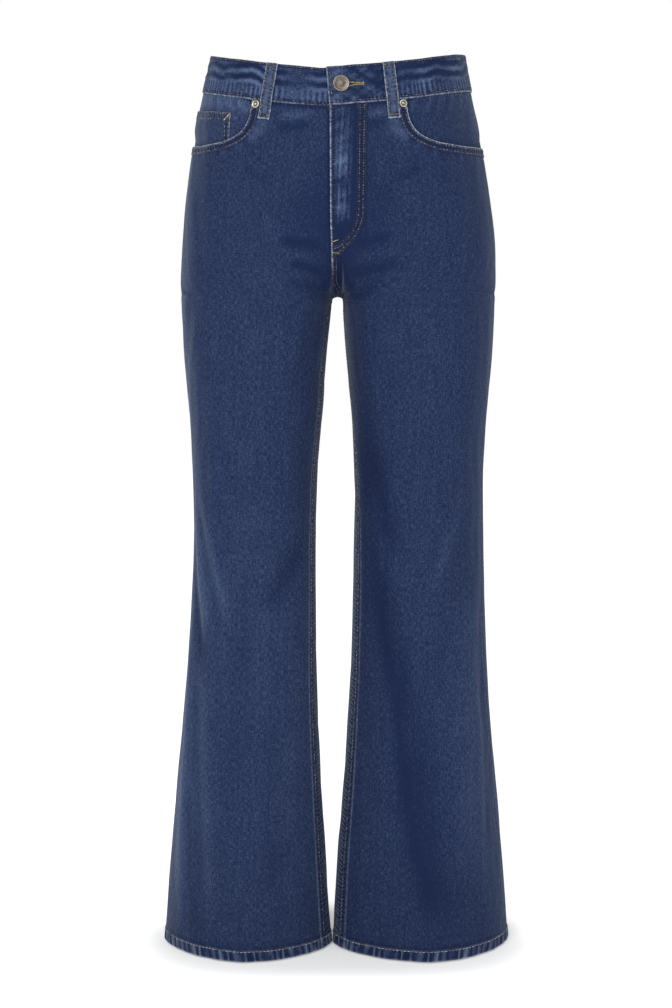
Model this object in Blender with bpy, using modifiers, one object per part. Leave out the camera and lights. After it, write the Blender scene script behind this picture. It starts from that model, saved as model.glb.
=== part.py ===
"""Flared five-pocket jeans, filled out as if worn, with nobody inside.

Frame: +Z up, the front faces -Y and the wearer's left is +X. The origin is the middle of the
waist opening, level with the top of the side seams. Sizes below are millimetres, and MM turns
them into Blender's metres.

Every cloth piece is a wall on one garment form. A place on the form is (half, s, level): the
half is the wearer's RIGHT or LEFT, s runs round that half from the front middle or inseam (0)
by the side seam (0.5) to the back middle or inseam (1), and level is the depth below the
waist edge. s below 0 or above 1 carries on round the other half. lift is the height above the
form's surface.
"""

import math

import bmesh
import bpy
import numpy as np
from mathutils import Matrix, Vector

MM = 0.001
RIGHT, LEFT = -1, 1

# ---- Driving dimensions, in millimetres ----
OUTSEAM = 1058.0
BAND_HEIGHT = 42.0
CROTCH_LEVEL = 282.0
WEB_HALF_WIDTH = 6.5
FRONT_RISE_CURVE = 95.0
BACK_RISE_CURVE = 150.0
RISE_ROUNDNESS = 2.2
SOFT_LENGTH = 16.0
SOFT_WIDTH = 0.12
SEAM_GAP = 0.3
HEM_HEIGHT = 12.5

# The waist edge, as a height above the side seams' top: a cosine in each of two waves round it.
WAIST_DIP_ONE_WAVE = -21.0
WAIST_DIP_TWO_WAVES = -7.5
WAIST_DIP_END = 240.0
# The front of the waist stands this much higher on the wearer's left, and lower on the right.
WAIST_TILT = 1.5

# ---- Cloth and lifts above the form ----
DENIM = 1.2
HEM_DENIM = 1.8
BAND_LIFT = (-1.3, 1.2)
PANEL_LIFT = (-DENIM, 0.0)
COIN_POCKET_LIFT = (-4.0, -2.8)
FACING_LIFT = {RIGHT: (-5.8, -4.5), LEFT: (-4.4, -3.2)}
FLY_FACING_LIFT = (-3.9, -2.8)
ZIP_LIFT = (-5.8, -4.6)
HEM_TURN_UP_LIFT = (-0.5 - DENIM - HEM_DENIM, -0.5 - DENIM)
PATCH_LIFT = (1.4, 1.4 + DENIM)
LOOP_THICKNESS = 1.4

# ---- The garment form: one row for each section, top to bottom ----
# out and in are distances from the middle plane to the leg's outer and inner side; front and
# back are depths before and behind it; side_y and in_y are where the outer and inner sides
# lie; round is the superellipse power; apex is how far out the section is deepest.
FORM_COLUMNS = (
    "level", "right_out", "left_out", "right_in", "left_in", "front", "back",
    "side_y", "in_y", "front_round", "back_round", "front_apex", "back_apex",
)  # fmt: skip
FORM_ROWS = (
    (-30, 144, 145, 6.5, 6.5, 102, 98, 4, -10, 2.0, 2.0, 12, 14),
    (0, 148, 149, 6.5, 6.5, 105, 101, 4, -10, 2.0, 2.0, 14, 16),
    (42, 158, 157, 6.5, 6.5, 110, 107, 4, -10, 2.0, 2.0, 20, 26),
    (100, 169, 169, 6.5, 6.5, 114, 119, 5, -10, 2.1, 2.05, 34, 52),
    (160, 178, 179, 6.5, 6.5, 115, 130, 6, -10, 2.15, 2.1, 56, 74),
    (215, 183, 186, 6.5, 6.5, 111, 134, 7, -10, 2.2, 2.15, 76, 84),
    (282, 185, 186, 6.5, 6.5, 102, 117, 5, -10, 2.2, 2.1, 92, 92),
    (350, 181.5, 183, 13, 10.5, 96, 100, 3, -9, 2.15, 2.05, 94, 94),
    (420, 176, 177.5, 18, 16.5, 90, 90, 0, -8, 2.1, 2.05, 94, 94),
    (490, 172, 173, 24, 20, 85, 78, -2, -7, 2.05, 2.0, 94, 94),
    (560, 171, 174, 26, 20, 81, 68, -3, -6, 2.05, 2.0, 94, 94),
    (640, 175, 176, 26, 18.5, 77, 66, -1, -5, 2.05, 2.0, 94, 94),
    (740, 182.5, 181.5, 25, 15, 75, 74, 3, -5, 2.0, 2.0, 97, 97),
    (850, 193.5, 191, 20, 8, 75, 84, 7, -6, 1.9, 1.95, 101, 101),
    (960, 203, 201, 14, -0.5, 77, 93, 10, -7, 1.8, 1.9, 104, 104),
    (1058, 212, 208.5, 7.5, -5.5, 79, 100, 12, -8, 1.7, 1.85, 107, 107),
    (1090, 215, 211, 6, -6.5, 80, 103, 12, -8, 1.7, 1.85, 108, 108),
)
# The inseam lies this far forward of the innermost line, and the side seam this far forward
# of the outermost one, along the cloth.
SEAM_COLUMNS = ("level", "inseam_turn", "right_side_turn", "left_side_turn")
SEAM_ROWS = (
    (-30, 0, 0, 0),
    (290, 0, -3, 0),
    (400, 18, -4, 8),
    (560, 29, -5, 22),
    (700, 31, -5, 31),
    (830, 31, -5, 26),
    (1090, 30, -4, 26),
)

# The largest folds: soft ridges, or valleys where height is negative, from one place to another.
FOLD_COLUMNS = ("half", "s_top", "level_top", "s_foot", "level_foot", "width", "height")
FOLD_ROWS = (
    (RIGHT, 0.42, 520, 0.335, 690, 10, 2.6),
    (RIGHT, 0.42, 640, 0.385, 1040, 14, 2.2),
    (RIGHT, 0.03, 560, 0.17, 650, 16, -2.6),
    (LEFT, 0.10, 600, 0.17, 800, 22, -4.2),
    (LEFT, 0.17, 780, 0.27, 1020, 26, -4.4),
    (LEFT, 0.42, 600, 0.37, 980, 16, 3.0),
    (LEFT, 0.06, 440, 0.15, 590, 18, -2.4),
    (RIGHT, 0.84, 560, 0.76, 700, 18, -3.4),
    (LEFT, 0.87, 540, 0.77, 690, 20, -3.2),
    (RIGHT, 0.60, 620, 0.66, 1020, 24, 3.4),
    (LEFT, 0.80, 700, 0.72, 1030, 26, -3.8),
)

# ---- Where the pieces lie on the form ----
FLY_OVERLAP = 8.0
FLY_WIDTH = 36.0
FLY_STRAIGHT_LEVEL = 196.0
FLY_FOOT_LEVEL = 240.0
SCOOP_START = {RIGHT: 0.213, LEFT: 0.168}
SCOOP_FOOT = {RIGHT: 108.0, LEFT: 111.0}
SCOOP_POWER = 3.4
FACING_UNDERLAP = 12.0
COIN_POCKET_S = (0.269, 0.462)
COIN_POCKET_LEVELS = (61.0, 118.0)
YOKE_DEPTH_SIDE = 34.0
YOKE_DEPTH_BACK = 66.0
BACK_POCKET_S = 0.765
BACK_POCKET_TOP = 122.0
BACK_POCKET_SIDE_HEIGHT = 128.0
BACK_POCKET_POINT = 22.0
BACK_POCKET_HALF_WIDTHS = (72.0, 60.0)
BACK_POCKET_SLOPE = 0.13
BACK_POCKET_DRIFT = 0.014  # how far s of its middle line falls, to keep it upright on the seat
BAND_END_OVERLAPS = (12.0, 8.0)
BAND_UNDERLAP = 34.0

LOOP_HALF_WIDTH = 6.2
LOOP_TOP_LEVEL = 0.6
LOOP_FOOT_LEVEL = 63.5
LOOP_FOOT_RAMP = 5.0
LOOP_COLUMNS = ("name", "half", "s_top", "s_foot")
LOOP_ROWS = (
    ("belt_loop_front_right", RIGHT, 0.168, 0.176),
    ("belt_loop_front_left", LEFT, 0.130, 0.134),
    ("belt_loop_back_right", RIGHT, 0.690, 0.694),
    ("belt_loop_back_left", LEFT, 0.690, 0.694),
    ("belt_loop_back_middle", LEFT, 1.0, 1.0),
)

BUTTON_PLACE = (LEFT, 0.011, 19.0)
BUTTON_RADIUS = 9.2
RIVET_RADIUS = 4.7
RIVET_PLACES = {
    "rivet_right": (RIGHT, 0.201, 47.5),
    "rivet_left": (LEFT, 0.159, 47.5),
}

# ---- How finely the form and the pieces are divided ----
ROW_SPACING = 2.0
CROTCH_ROW_SPACING = 0.5
CROTCH_BAND = (-30.0, 20.0)
SECTION_SAMPLES = 60
WEB_SAMPLES = 8
RING_STEPS = 192
FRONT_TOP_COLUMNS = 6
MOUTH_TURNS = (9, 26, 44, 60, 72, 80, 85, 88.3, 90)
HIP_LEVEL = 140.0
FRONT_HIP_LEVELS = np.array([160, 180, 200, 219, 236, 251, 264, 273, 278, 282, 287, 297.0])
BACK_HIP_LEVELS = np.array([128, 152, 176, 200, 222, 242, 258, 270, 277, 282, 287, 297.0])
LEG_LEVELS = np.array(
    [325, 362, 405, 450, 500, 550, 600, 650, 705, 760, 820, 880, 935, 990, OUTSEAM]
)
PANEL_COLUMNS = 13
FRONT_COLUMNS = FRONT_TOP_COLUMNS + len(MOUTH_TURNS)

# ---- Colours: base colour, metallic and roughness ----
FINISHES = {
    "denim": ((0.030, 0.045, 0.115, 1.0), 0.0, 0.85),
    "metal": ((0.45, 0.40, 0.33, 1.0), 1.0, 0.4),
    "zip_tape": ((0.020, 0.026, 0.060, 1.0), 0.0, 0.9),
}


def smooth_columns(names, rows, levels):
    """Each named column as a smooth curve through its rows, read at the given levels."""
    table = np.array(rows, float)
    knots = table[:, 0]
    spans = np.diff(knots)
    columns = {}
    row = np.clip(np.searchsorted(knots, levels, "right") - 1, 0, len(spans) - 1)
    t = np.clip((levels - knots[row]) / spans[row], 0.0, 1.0)
    for index, name in enumerate(names):
        if index == 0:
            continue
        values = table[:, index]
        rises = np.diff(values) / spans
        slopes = np.concatenate([rises[:1], (rises[:-1] + rises[1:]) / 2, rises[-1:]])
        start, end = values[row], values[row + 1]
        pull_start, pull_end = slopes[row] * spans[row], slopes[row + 1] * spans[row]
        columns[name] = (
            start * (1 + 2 * t) * (1 - t) ** 2
            + end * t * t * (3 - 2 * t)
            + pull_start * t * (1 - t) ** 2
            - pull_end * t * t * (1 - t)
        )
    return columns


def smooth_step(low, high, value):
    """0 below low, 1 above high and a smooth rise between."""
    t = np.clip((value - low) / (high - low), 0.0, 1.0)
    return t * t * (3 - 2 * t)


def rise_curve(height, run):
    """How far a crotch seam has gone from the crotch point (0) to the body (1) at a height."""
    part = 1 - np.clip(height / run, 0.0, 1.0)
    return (1 - part**RISE_ROUNDNESS) ** (1 / RISE_ROUNDNESS)


def section_points(half, columns, level):
    """One half's sections as polylines, (rows, points, 2), from the front middle round to the back."""
    side = "right" if half == RIGHT else "left"
    col = {name: values[:, None] for name, values in columns.items()}
    out, inner = col[side + "_out"], col[side + "_in"]
    front, back, in_y, side_y = -col["front"], col["back"], col["in_y"], col["side_y"]
    height = (CROTCH_LEVEL - level)[:, None]

    # Above the crotch the two halves join in a small arch, as wide as the web.
    web = WEB_HALF_WIDTH
    arch_start = np.sqrt(np.clip(web**2 - np.clip(web + height, 0, web) ** 2, 0, None))
    start = np.where(height > 0, 0.0, np.where(height > -web, arch_start, inner))
    web_end = np.where(height > -web, web, inner)
    share = np.linspace(0, 1, WEB_SAMPLES)[None, :]
    web_x = start + (web_end - start) * share
    drop = web - np.sqrt(np.clip(web**2 - web_x**2, 0, None))
    rise = np.where(height > -web, height + drop, 0.0)
    web_front = in_y + (front - in_y) * rise_curve(rise, FRONT_RISE_CURVE)
    web_back = in_y + (back - in_y) * rise_curve(rise, BACK_RISE_CURVE)

    # Each quarter is a superellipse. Towards the waist its start turns from upright to level.
    turn = np.linspace(0, math.pi / 2, SECTION_SAMPLES)[None, :]
    above_front = smooth_step(0.0, FRONT_RISE_CURVE, height)
    above_back = smooth_step(0.0, BACK_RISE_CURVE, height)
    pieces = []
    for apex, y_far, y_web, above, power, backward in (
        (col["front_apex"], front, web_front[:, -1:], above_front, col["front_round"], False),
        (col["back_apex"], back, web_back[:, -1:], above_back, col["back_round"], True),
    ):
        bend = 2.0 / power
        bend_in = 1 + (bend - 1) * (1 - above)
        inner_x = web_end + (apex - web_end) * (1 - np.cos(turn) ** bend_in)
        inner_y = y_web + (y_far - y_web) * np.sin(turn) ** (bend_in * (1 + 3 * above))
        outer_x = apex + (out - apex) * np.sin(turn) ** bend
        outer_y = side_y + (y_far - side_y) * np.cos(turn) ** bend
        quarter_x = np.concatenate([inner_x[:, 1:], outer_x[:, 1:]], axis=1)
        quarter_y = np.concatenate([inner_y[:, 1:], outer_y[:, 1:]], axis=1)
        if backward:
            quarter_x, quarter_y = quarter_x[:, -2::-1], quarter_y[:, -2::-1]
        pieces.append((quarter_x, quarter_y))
    x = np.concatenate([web_x, pieces[0][0], pieces[1][0], web_x[:, ::-1]], axis=1)
    y = np.concatenate([web_front, pieces[0][1], pieces[1][1], web_back[:, ::-1]], axis=1)
    return np.stack([x * half, y], axis=2)


def side_index():
    """Which point of a section polyline is the outermost one."""
    return WEB_SAMPLES + 2 * (SECTION_SAMPLES - 1) - 1


def form_levels():
    """The levels of the form's rows, closer together round the crotch."""
    low, high = CROTCH_LEVEL + CROTCH_BAND[0], CROTCH_LEVEL + CROTCH_BAND[1]
    first, last = FORM_ROWS[0][0], FORM_ROWS[-1][0]
    return np.unique(
        np.concatenate(
            [
                np.arange(first, low, ROW_SPACING),
                np.arange(low, high, CROTCH_ROW_SPACING),
                np.arange(high, last + ROW_SPACING, ROW_SPACING),
            ]
        )
    )


def resample_row(line, side_at, shift_in, shift_side):
    """The polyline at RING_STEPS + 1 even steps of s, with the seams turned along the cloth."""
    steps = np.linalg.norm(np.diff(line, axis=0), axis=1)
    run = np.concatenate([[0.0], np.cumsum(steps)])
    total, middle = run[-1], run[side_at] - shift_side
    s = np.linspace(0, 1, RING_STEPS + 1)
    wanted = np.where(
        s <= 0.5,
        shift_in + (middle - shift_in) * s * 2,
        middle + (total + shift_in - middle) * (s * 2 - 1),
    )
    run_on = np.concatenate([run, run[1:] + total])
    line_on = np.concatenate([line, line[1:]])
    points = np.stack([np.interp(wanted, run_on, line_on[:, axis]) for axis in (0, 1)], axis=1)
    return points, middle - shift_in, total + shift_in - middle


class Form:
    """The garment's outer surface, as a lattice of rows and even steps of s for each half."""

    def __init__(self):
        self.levels = form_levels()
        columns = smooth_columns(FORM_COLUMNS, FORM_ROWS, self.levels)
        seams = smooth_columns(SEAM_COLUMNS, SEAM_ROWS, self.levels)
        self.points, self.normals, self.front_run, self.back_run = {}, {}, {}, {}
        for half in (RIGHT, LEFT):
            side_turn = seams["right_side_turn" if half == RIGHT else "left_side_turn"]
            below = self.levels > CROTCH_LEVEL
            turn_in = np.where(below, np.clip(seams["inseam_turn"], 0, None), 0.0)
            lines = section_points(half, columns, self.levels)
            rows = [
                resample_row(line, side_index(), turn_in[i], side_turn[i])
                for i, line in enumerate(lines)
            ]
            flat = np.array([row[0] for row in rows])
            heights = np.broadcast_to(-self.levels[:, None, None], flat.shape[:2] + (1,))
            flat += (self.softened(flat) - flat) * self.soft_share()
            points = np.concatenate([flat, heights], axis=2)
            self.points[half] = points
            self.normals[half] = self.lattice_normals(points, half)
            self.front_run[half] = np.array([row[1] for row in rows])
            self.back_run[half] = np.array([row[2] for row in rows])

    def softened(self, flat):
        """The rows averaged with their neighbours above and below, which rounds off the crotch's crease."""
        apart = (self.levels[:, None] - self.levels[None, :]) / SOFT_LENGTH
        weights = np.exp(-apart * apart) * np.gradient(self.levels)[None, :]
        weights /= weights.sum(axis=1, keepdims=True)
        first, last = self.levels[0] + 3 * SOFT_LENGTH, self.levels[-1] - 3 * SOFT_LENGTH
        inside = ((self.levels > first) & (self.levels < last))[:, None, None]
        return np.where(inside, np.einsum("ij,jkl->ikl", weights, flat), flat)

    def soft_share(self):
        """How far each column is softened: not at the middle or inseam, and fully a little way off."""
        s = np.linspace(0, 1, RING_STEPS + 1)
        return smooth_step(0.0, SOFT_WIDTH, np.minimum(s, 1 - s))[None, :, None]

    def lattice_normals(self, points, half):
        """Unit normals that face out of the garment, from the slopes along and down the lattice."""
        along = np.gradient(points, axis=1)
        down = np.gradient(points, self.levels, axis=0)
        normals = np.cross(down, along) * half
        length = np.linalg.norm(normals, axis=2, keepdims=True)
        return normals / np.where(length > 1e-9, length, 1.0)

    def read(self, lattice, s, height):
        """The lattice between its points, at each s and each height above the waist level."""
        row = np.interp(-height, self.levels, np.arange(len(self.levels)))
        column = np.clip(s, 0, 1) * RING_STEPS
        r0 = np.clip(row.astype(int), 0, len(self.levels) - 2)
        c0 = np.clip(column.astype(int), 0, RING_STEPS - 1)
        fr, fc = (row - r0)[..., None], (column - c0)[..., None]
        top = lattice[r0, c0] * (1 - fc) + lattice[r0, c0 + 1] * fc
        foot = lattice[r0 + 1, c0] * (1 - fc) + lattice[r0 + 1, c0 + 1] * fc
        return top * (1 - fr) + foot * fr

    def height_of(self, half, s, level):
        """The height of a place: its level, and the waist edge's dip, which fades out below."""
        dip = WAIST_DIP_TWO_WAVES * (1 + np.cos(2 * math.pi * s)) + WAIST_DIP_ONE_WAVE * np.cos(math.pi * s)
        dip += half * WAIST_TILT * smooth_step(0, 0.05, s) * (1 - smooth_step(0.35, 0.5, s))
        return -level + dip * (1 - smooth_step(BAND_HEIGHT, WAIST_DIP_END, level))

    def fold_height(self, half, s, level):
        """The folds' height above the form: each a rounded ridge whose ends fade out."""
        height = np.zeros(np.broadcast(s, level).shape)
        for row in FOLD_ROWS:
            fold = dict(zip(FOLD_COLUMNS, row))
            if fold["half"] != half:
                continue
            span = fold["level_foot"] - fold["level_top"]
            t = (level - fold["level_top"]) / span
            run = np.interp(level, self.levels, self.front_run[half] + self.back_run[half])
            path = fold["s_top"] + (fold["s_foot"] - fold["s_top"]) * t
            away = (s - path) * run / fold["width"]
            fade = smooth_step(-0.05, 0.3, t) * (1 - smooth_step(0.7, 1.05, t))
            height += fold["height"] * fade * np.exp(-away * away)
        return height

    def place(self, half, s, level, lift=0.0):
        """Points at (s, level), raised by lift, in metres. half, s, level and lift may be arrays."""
        half, s, level, lift = np.broadcast_arrays(half, s, level, lift)
        s = s.astype(float)
        other = (s < 0) | (s > 1)
        folded = np.where(s < 0, -s, np.where(s > 1, 2 - s, s))
        real_half = np.where(other, -half, half)
        height = self.height_of(real_half, folded, level.astype(float))
        points = np.zeros(s.shape + (3,))
        for one in (RIGHT, LEFT):
            here = real_half == one
            at_s, at_height = folded[here], height[here]
            normal = self.read(self.normals[one], at_s, at_height)
            normal /= np.linalg.norm(normal, axis=-1, keepdims=True)
            fold = self.fold_height(one, at_s, -at_height)
            surface = self.read(self.points[one], at_s, at_height)
            points[here] = surface + normal * (lift[here] + fold)[..., None]
        return points * MM

    def s_per_mm(self, half, s, level):
        """How much s one millimetre along the cloth is, on the front or back part of that half."""
        runs = self.front_run if s < 0.5 else self.back_run
        return 0.5 / np.interp(level, self.levels, runs[half])


FORM = Form()


def new_object(name, mesh, finish, collection):
    """A named object with its finish, in the garment's collection."""
    obj = bpy.data.objects.new(name, mesh)
    collection.objects.link(obj)
    obj.data.materials.append(bpy.data.materials[finish])
    return obj


def wall_mesh(name, outer, inner, ring=False):
    """A closed wall between two grids of points, (rows, columns, 3). A ring joins its first
    and last columns."""
    rows, columns = outer.shape[:2]
    count = rows * columns
    index = np.arange(count).reshape(rows, columns)
    if ring:
        index = np.concatenate([index, index[:, :1]], axis=1)

    def halved(a, b, c, d):
        """Each four-sided cell as two triangles, cut along the same diagonal on both faces."""
        cut = [np.stack([a, b, c], axis=-1), np.stack([a, c, d], axis=-1)]
        return np.concatenate([part.reshape(-1, 3) for part in cut])

    face = halved(index[:-1, :-1], index[1:, :-1], index[1:, 1:], index[:-1, 1:])
    faces = [face, face[:, ::-1] + count]
    top, foot = index[0], index[-1]
    faces.append(halved(top[:-1], top[1:], top[1:] + count, top[:-1] + count))
    faces.append(halved(foot[1:], foot[:-1], foot[:-1] + count, foot[1:] + count))
    if not ring:
        start, end = index[:, 0], index[:, -1]
        faces.append(halved(start[1:], start[:-1], start[:-1] + count, start[1:] + count))
        faces.append(halved(end[:-1], end[1:], end[1:] + count, end[:-1] + count))
    points = np.concatenate([outer.reshape(-1, 3), inner.reshape(-1, 3)])
    mesh = bpy.data.meshes.new(name)
    mesh.from_pydata(points.tolist(), [], np.concatenate(faces).tolist())
    return mesh


def cloth_piece(name, half, s, level, lifts, collection, finish="denim", ring=False):
    """A wall between two lifts over a grid of (s, level) places. lifts are (inner, outer), and
    each may be a number or a grid."""
    outer = FORM.place(half, s, level, lifts[1])
    inner = FORM.place(half, s, level, lifts[0])
    mesh = wall_mesh(name, outer, inner, ring)
    work = bmesh.new()
    work.from_mesh(mesh)
    if work.calc_volume(signed=True) < 0:
        bmesh.ops.reverse_faces(work, faces=work.faces)
    work.to_mesh(mesh)
    work.free()
    mesh.shade_smooth()
    mesh.set_sharp_from_angle(angle=math.radians(40))
    return new_object(name, mesh, finish, collection)


def spread(low, high, count, gathered=0.0):
    """A grid from the column low to the column high. gathered draws its steps towards both ends."""
    share = np.linspace(0, 1, count)[None, :]
    share = share + (0.5 - 0.5 * np.cos(math.pi * share) - share) * gathered
    return low[:, None] + (high - low)[:, None] * share


def fly_edge(half, level):
    """s of the fly's folded edge, which lies past the middle on the wearer's right."""
    overlap = FLY_OVERLAP * (1 - smooth_step(FLY_FOOT_LEVEL, CROTCH_LEVEL - 3, level))
    gap = SEAM_GAP / 2
    s_mm = np.array([FORM.s_per_mm(half, 0.0, one) for one in level])
    return (overlap + gap) * s_mm if half == RIGHT else (-overlap + gap) * s_mm


def mouth_line(half):
    """The front pocket's curved mouth as (s, level): a quarter of a superellipse, from the
    waistband to the side seam."""
    turn = np.radians(MOUTH_TURNS)
    bend = 2 / SCOOP_POWER
    s = 0.5 - (0.5 - SCOOP_START[half]) * np.clip(np.cos(turn), 0, 1) ** bend
    level = BAND_HEIGHT + (SCOOP_FOOT[half] - BAND_HEIGHT) * np.sin(turn) ** bend
    return s, level


def seam_inset(half, level, back=False):
    """Half a seam gap as a share of s, at each level."""
    s = 0.75 if back else 0.25
    return SEAM_GAP / 2 * np.array([FORM.s_per_mm(half, s, one) for one in level])


def build_front(half, name, collection):
    """A front panel, cut away at its top outer corner for the pocket mouth."""
    mouth_s, mouth_level = mouth_line(half)
    top = np.full(FRONT_TOP_COLUMNS, BAND_HEIGHT + SEAM_GAP)
    top_inner = fly_edge(half, top[:1])
    to_mouth = spread(top_inner, np.array([SCOOP_START[half]]), FRONT_TOP_COLUMNS)[0]
    top_s, top_level = np.concatenate([to_mouth, mouth_s]), np.concatenate([top, mouth_level])

    # The first rows run from the cut top edge to one level, and the rest keep theirs.
    down = np.array([0, 0.25, 0.5, 0.75, 1.0])[:, None]
    upper = top_level[None, :] + (HIP_LEVEL - top_level[None, :]) * down
    lower = np.concatenate([FRONT_HIP_LEVELS, LEG_LEVELS])[:, None]
    level = np.concatenate([upper, np.broadcast_to(lower, (len(lower), upper.shape[1]))])
    row_level = level[:, -1]
    gap = seam_inset(half, row_level)
    inner = np.where(row_level >= CROTCH_LEVEL, gap, fly_edge(half, row_level))
    outer = 0.5 - gap
    top_share = (top_s - top_inner) / (0.5 - top_inner)
    leg_share = spread(np.zeros(1), np.ones(1), len(top_s), 0.5)[0]
    eased = smooth_step(HIP_LEVEL, CROTCH_LEVEL, row_level)[:, None]
    share = top_share + (leg_share - top_share) * eased
    s = inner[:, None] + (outer - inner)[:, None] * share
    cloth_piece(name, half, s, level, PANEL_LIFT, collection)


def yoke_seam(s):
    """The level of the seam under the yoke, deepest at the back middle."""
    share = np.clip((s - 0.5) * 2, 0, 1)
    return BAND_HEIGHT + YOKE_DEPTH_SIDE + (YOKE_DEPTH_BACK - YOKE_DEPTH_SIDE) * share


def build_yoke(half, name, collection):
    """The yoke between the waistband and a back panel."""
    across = np.linspace(0.5 + 0.0004, 1 - 0.0004, 11)[None, :]
    top = BAND_HEIGHT + SEAM_GAP
    foot = yoke_seam(across) - SEAM_GAP / 2
    share = np.linspace(0, 1, 3)[:, None]
    level = top + (foot - top) * share
    cloth_piece(name, half, across, level, PANEL_LIFT, collection)


def build_back(half, name, collection):
    """A back panel, from the yoke down to the hem."""
    base = np.concatenate([[BAND_HEIGHT + YOKE_DEPTH_SIDE], BACK_HIP_LEVELS, LEG_LEVELS])
    gap = seam_inset(half, base, back=True)
    s = spread(0.5 + gap, 1 - gap, PANEL_COLUMNS, 0.5)
    seam = yoke_seam(s) + SEAM_GAP / 2
    sink = 1 - smooth_step(base[0], 232, base)[:, None]
    level = base[:, None] + (seam - base[0]) * sink
    cloth_piece(name, half, s, level, PANEL_LIFT, collection)


def build_hem(half, name, collection):
    """The turned-up hem band inside a leg's foot."""
    level = np.array([OUTSEAM - HEM_HEIGHT, OUTSEAM])
    front_gap, back_gap = seam_inset(half, level), seam_inset(half, level, back=True)
    front = spread(front_gap, 0.5 - front_gap, FRONT_COLUMNS, 0.5)
    back = spread(0.5 + back_gap, 1 - back_gap, PANEL_COLUMNS, 0.5)
    s = np.concatenate([front, back], axis=1)
    level = np.broadcast_to(level[:, None], s.shape)
    cloth_piece(name, half, s, level, HEM_TURN_UP_LIFT, collection, ring=True)


def build_pocket_facing(half, name, collection):
    """The panel behind a front pocket's mouth, which runs on under the front."""
    start = SCOOP_START[half]
    under = FACING_UNDERLAP * FORM.s_per_mm(half, 0.0, BAND_HEIGHT)
    share = np.concatenate([[start - under, start], mouth_line(half)[0]])[None, :]
    level = np.linspace(BAND_HEIGHT + SEAM_GAP, SCOOP_FOOT[half] + FACING_UNDERLAP, 5)[:, None]
    s, level = (grid.copy() for grid in np.broadcast_arrays(share, level))
    s[:, -1] -= seam_inset(half, level[:, -1])
    cloth_piece(name, half, s, level, FACING_LIFT[half], collection)


def build_coin_pocket(collection):
    """The small patch pocket on the right facing, whose foot runs on under the front."""
    s = np.linspace(*COIN_POCKET_S, 8)[None, :]
    level = np.linspace(*COIN_POCKET_LEVELS, 6)[:, None]
    cloth_piece("coin_pocket", RIGHT, s, level, COIN_POCKET_LIFT, collection)


def build_fly(collection):
    """The fly's facing, with its J-shaped edge, and the zip's tape, both under the left front."""
    top = BAND_HEIGHT + SEAM_GAP
    turn = np.linspace(0, math.radians(84), 6)
    curve = FLY_STRAIGHT_LEVEL + (FLY_FOOT_LEVEL - FLY_STRAIGHT_LEVEL) * np.sin(turn)
    level = np.concatenate([[top, 95, 145], curve])
    width = np.concatenate([[FLY_WIDTH] * 3, FLY_WIDTH * np.cos(turn)])
    s_mm = np.array([FORM.s_per_mm(LEFT, 0.0, one) for one in level])
    inner = fly_edge(LEFT, level)
    s = spread(inner, inner + width * s_mm, 6)
    cloth_piece("fly_facing", LEFT, s, level[:, None], FLY_FACING_LIFT, collection)
    tape = np.array([top, 80, 120, 160, 200, FLY_FOOT_LEVEL - 14.0])
    tape_s = np.array([FORM.s_per_mm(LEFT, 0.0, one) for one in tape])
    s = spread(-FLY_OVERLAP * tape_s, (FLY_WIDTH / 2) * tape_s, 5)
    cloth_piece("zip", LEFT, s, tape[:, None], ZIP_LIFT, collection, finish="zip_tape")


def build_waistband(collection):
    """One strip round the waist, whose left end laps over the right end at the front."""
    s_mm = FORM.s_per_mm(LEFT, 0.0, 20.0)
    under = -BAND_UNDERLAP * s_mm
    steps = np.linspace(0, 1, 24)
    right = np.concatenate([[under, under / 2], steps * 1.0])
    left = np.concatenate([1 - steps[1:-1], [0.02, 0.0, 0.0]])
    s = np.concatenate([right, left])
    half = np.concatenate([np.full(len(right), RIGHT), np.full(len(left), LEFT)])
    sink = np.concatenate(
        [-3.0 * (1 - smooth_step(0.02, 0.14, right)), 0.9 * (1 - smooth_step(0.02, 0.10, left))]
    )
    level = np.linspace(0, BAND_HEIGHT, 3)[:, None]
    lifts = (BAND_LIFT[0] + sink[None, :], BAND_LIFT[1] + sink[None, :])
    s, level_grid = (grid.copy() for grid in np.broadcast_arrays(s[None, :], level))
    s[:, -1] = -np.linspace(*BAND_END_OVERLAPS, len(level)) * s_mm
    half = np.broadcast_to(half[None, :], s.shape)
    cloth_piece("waistband", half, s, level_grid, lifts, collection)


def build_belt_loop(row, collection):
    """A loop over the waistband, stitched down to the panel below it."""
    loop = dict(zip(LOOP_COLUMNS, row))
    level = np.array([LOOP_TOP_LEVEL, 14, 28, BAND_HEIGHT, BAND_HEIGHT + LOOP_FOOT_RAMP, LOOP_FOOT_LEVEL])
    part = (level - level[0]) / (level[-1] - level[0])
    middle = loop["s_top"] + (loop["s_foot"] - loop["s_top"]) * part
    s_mm = np.array([FORM.s_per_mm(loop["half"], loop["s_top"], one) for one in level])
    reach = LOOP_HALF_WIDTH * s_mm
    s = spread(middle - reach, middle + reach, 3)
    on_band = BAND_LIFT[1] + SEAM_GAP + 0.9
    down = smooth_step(BAND_HEIGHT, BAND_HEIGHT + 2 * LOOP_FOOT_RAMP, level)
    lift = (on_band + (SEAM_GAP - on_band) * down)[:, None]
    lifts = (lift, lift + LOOP_THICKNESS)
    cloth_piece(loop["name"], loop["half"], s, level[:, None], lifts, collection)


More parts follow.
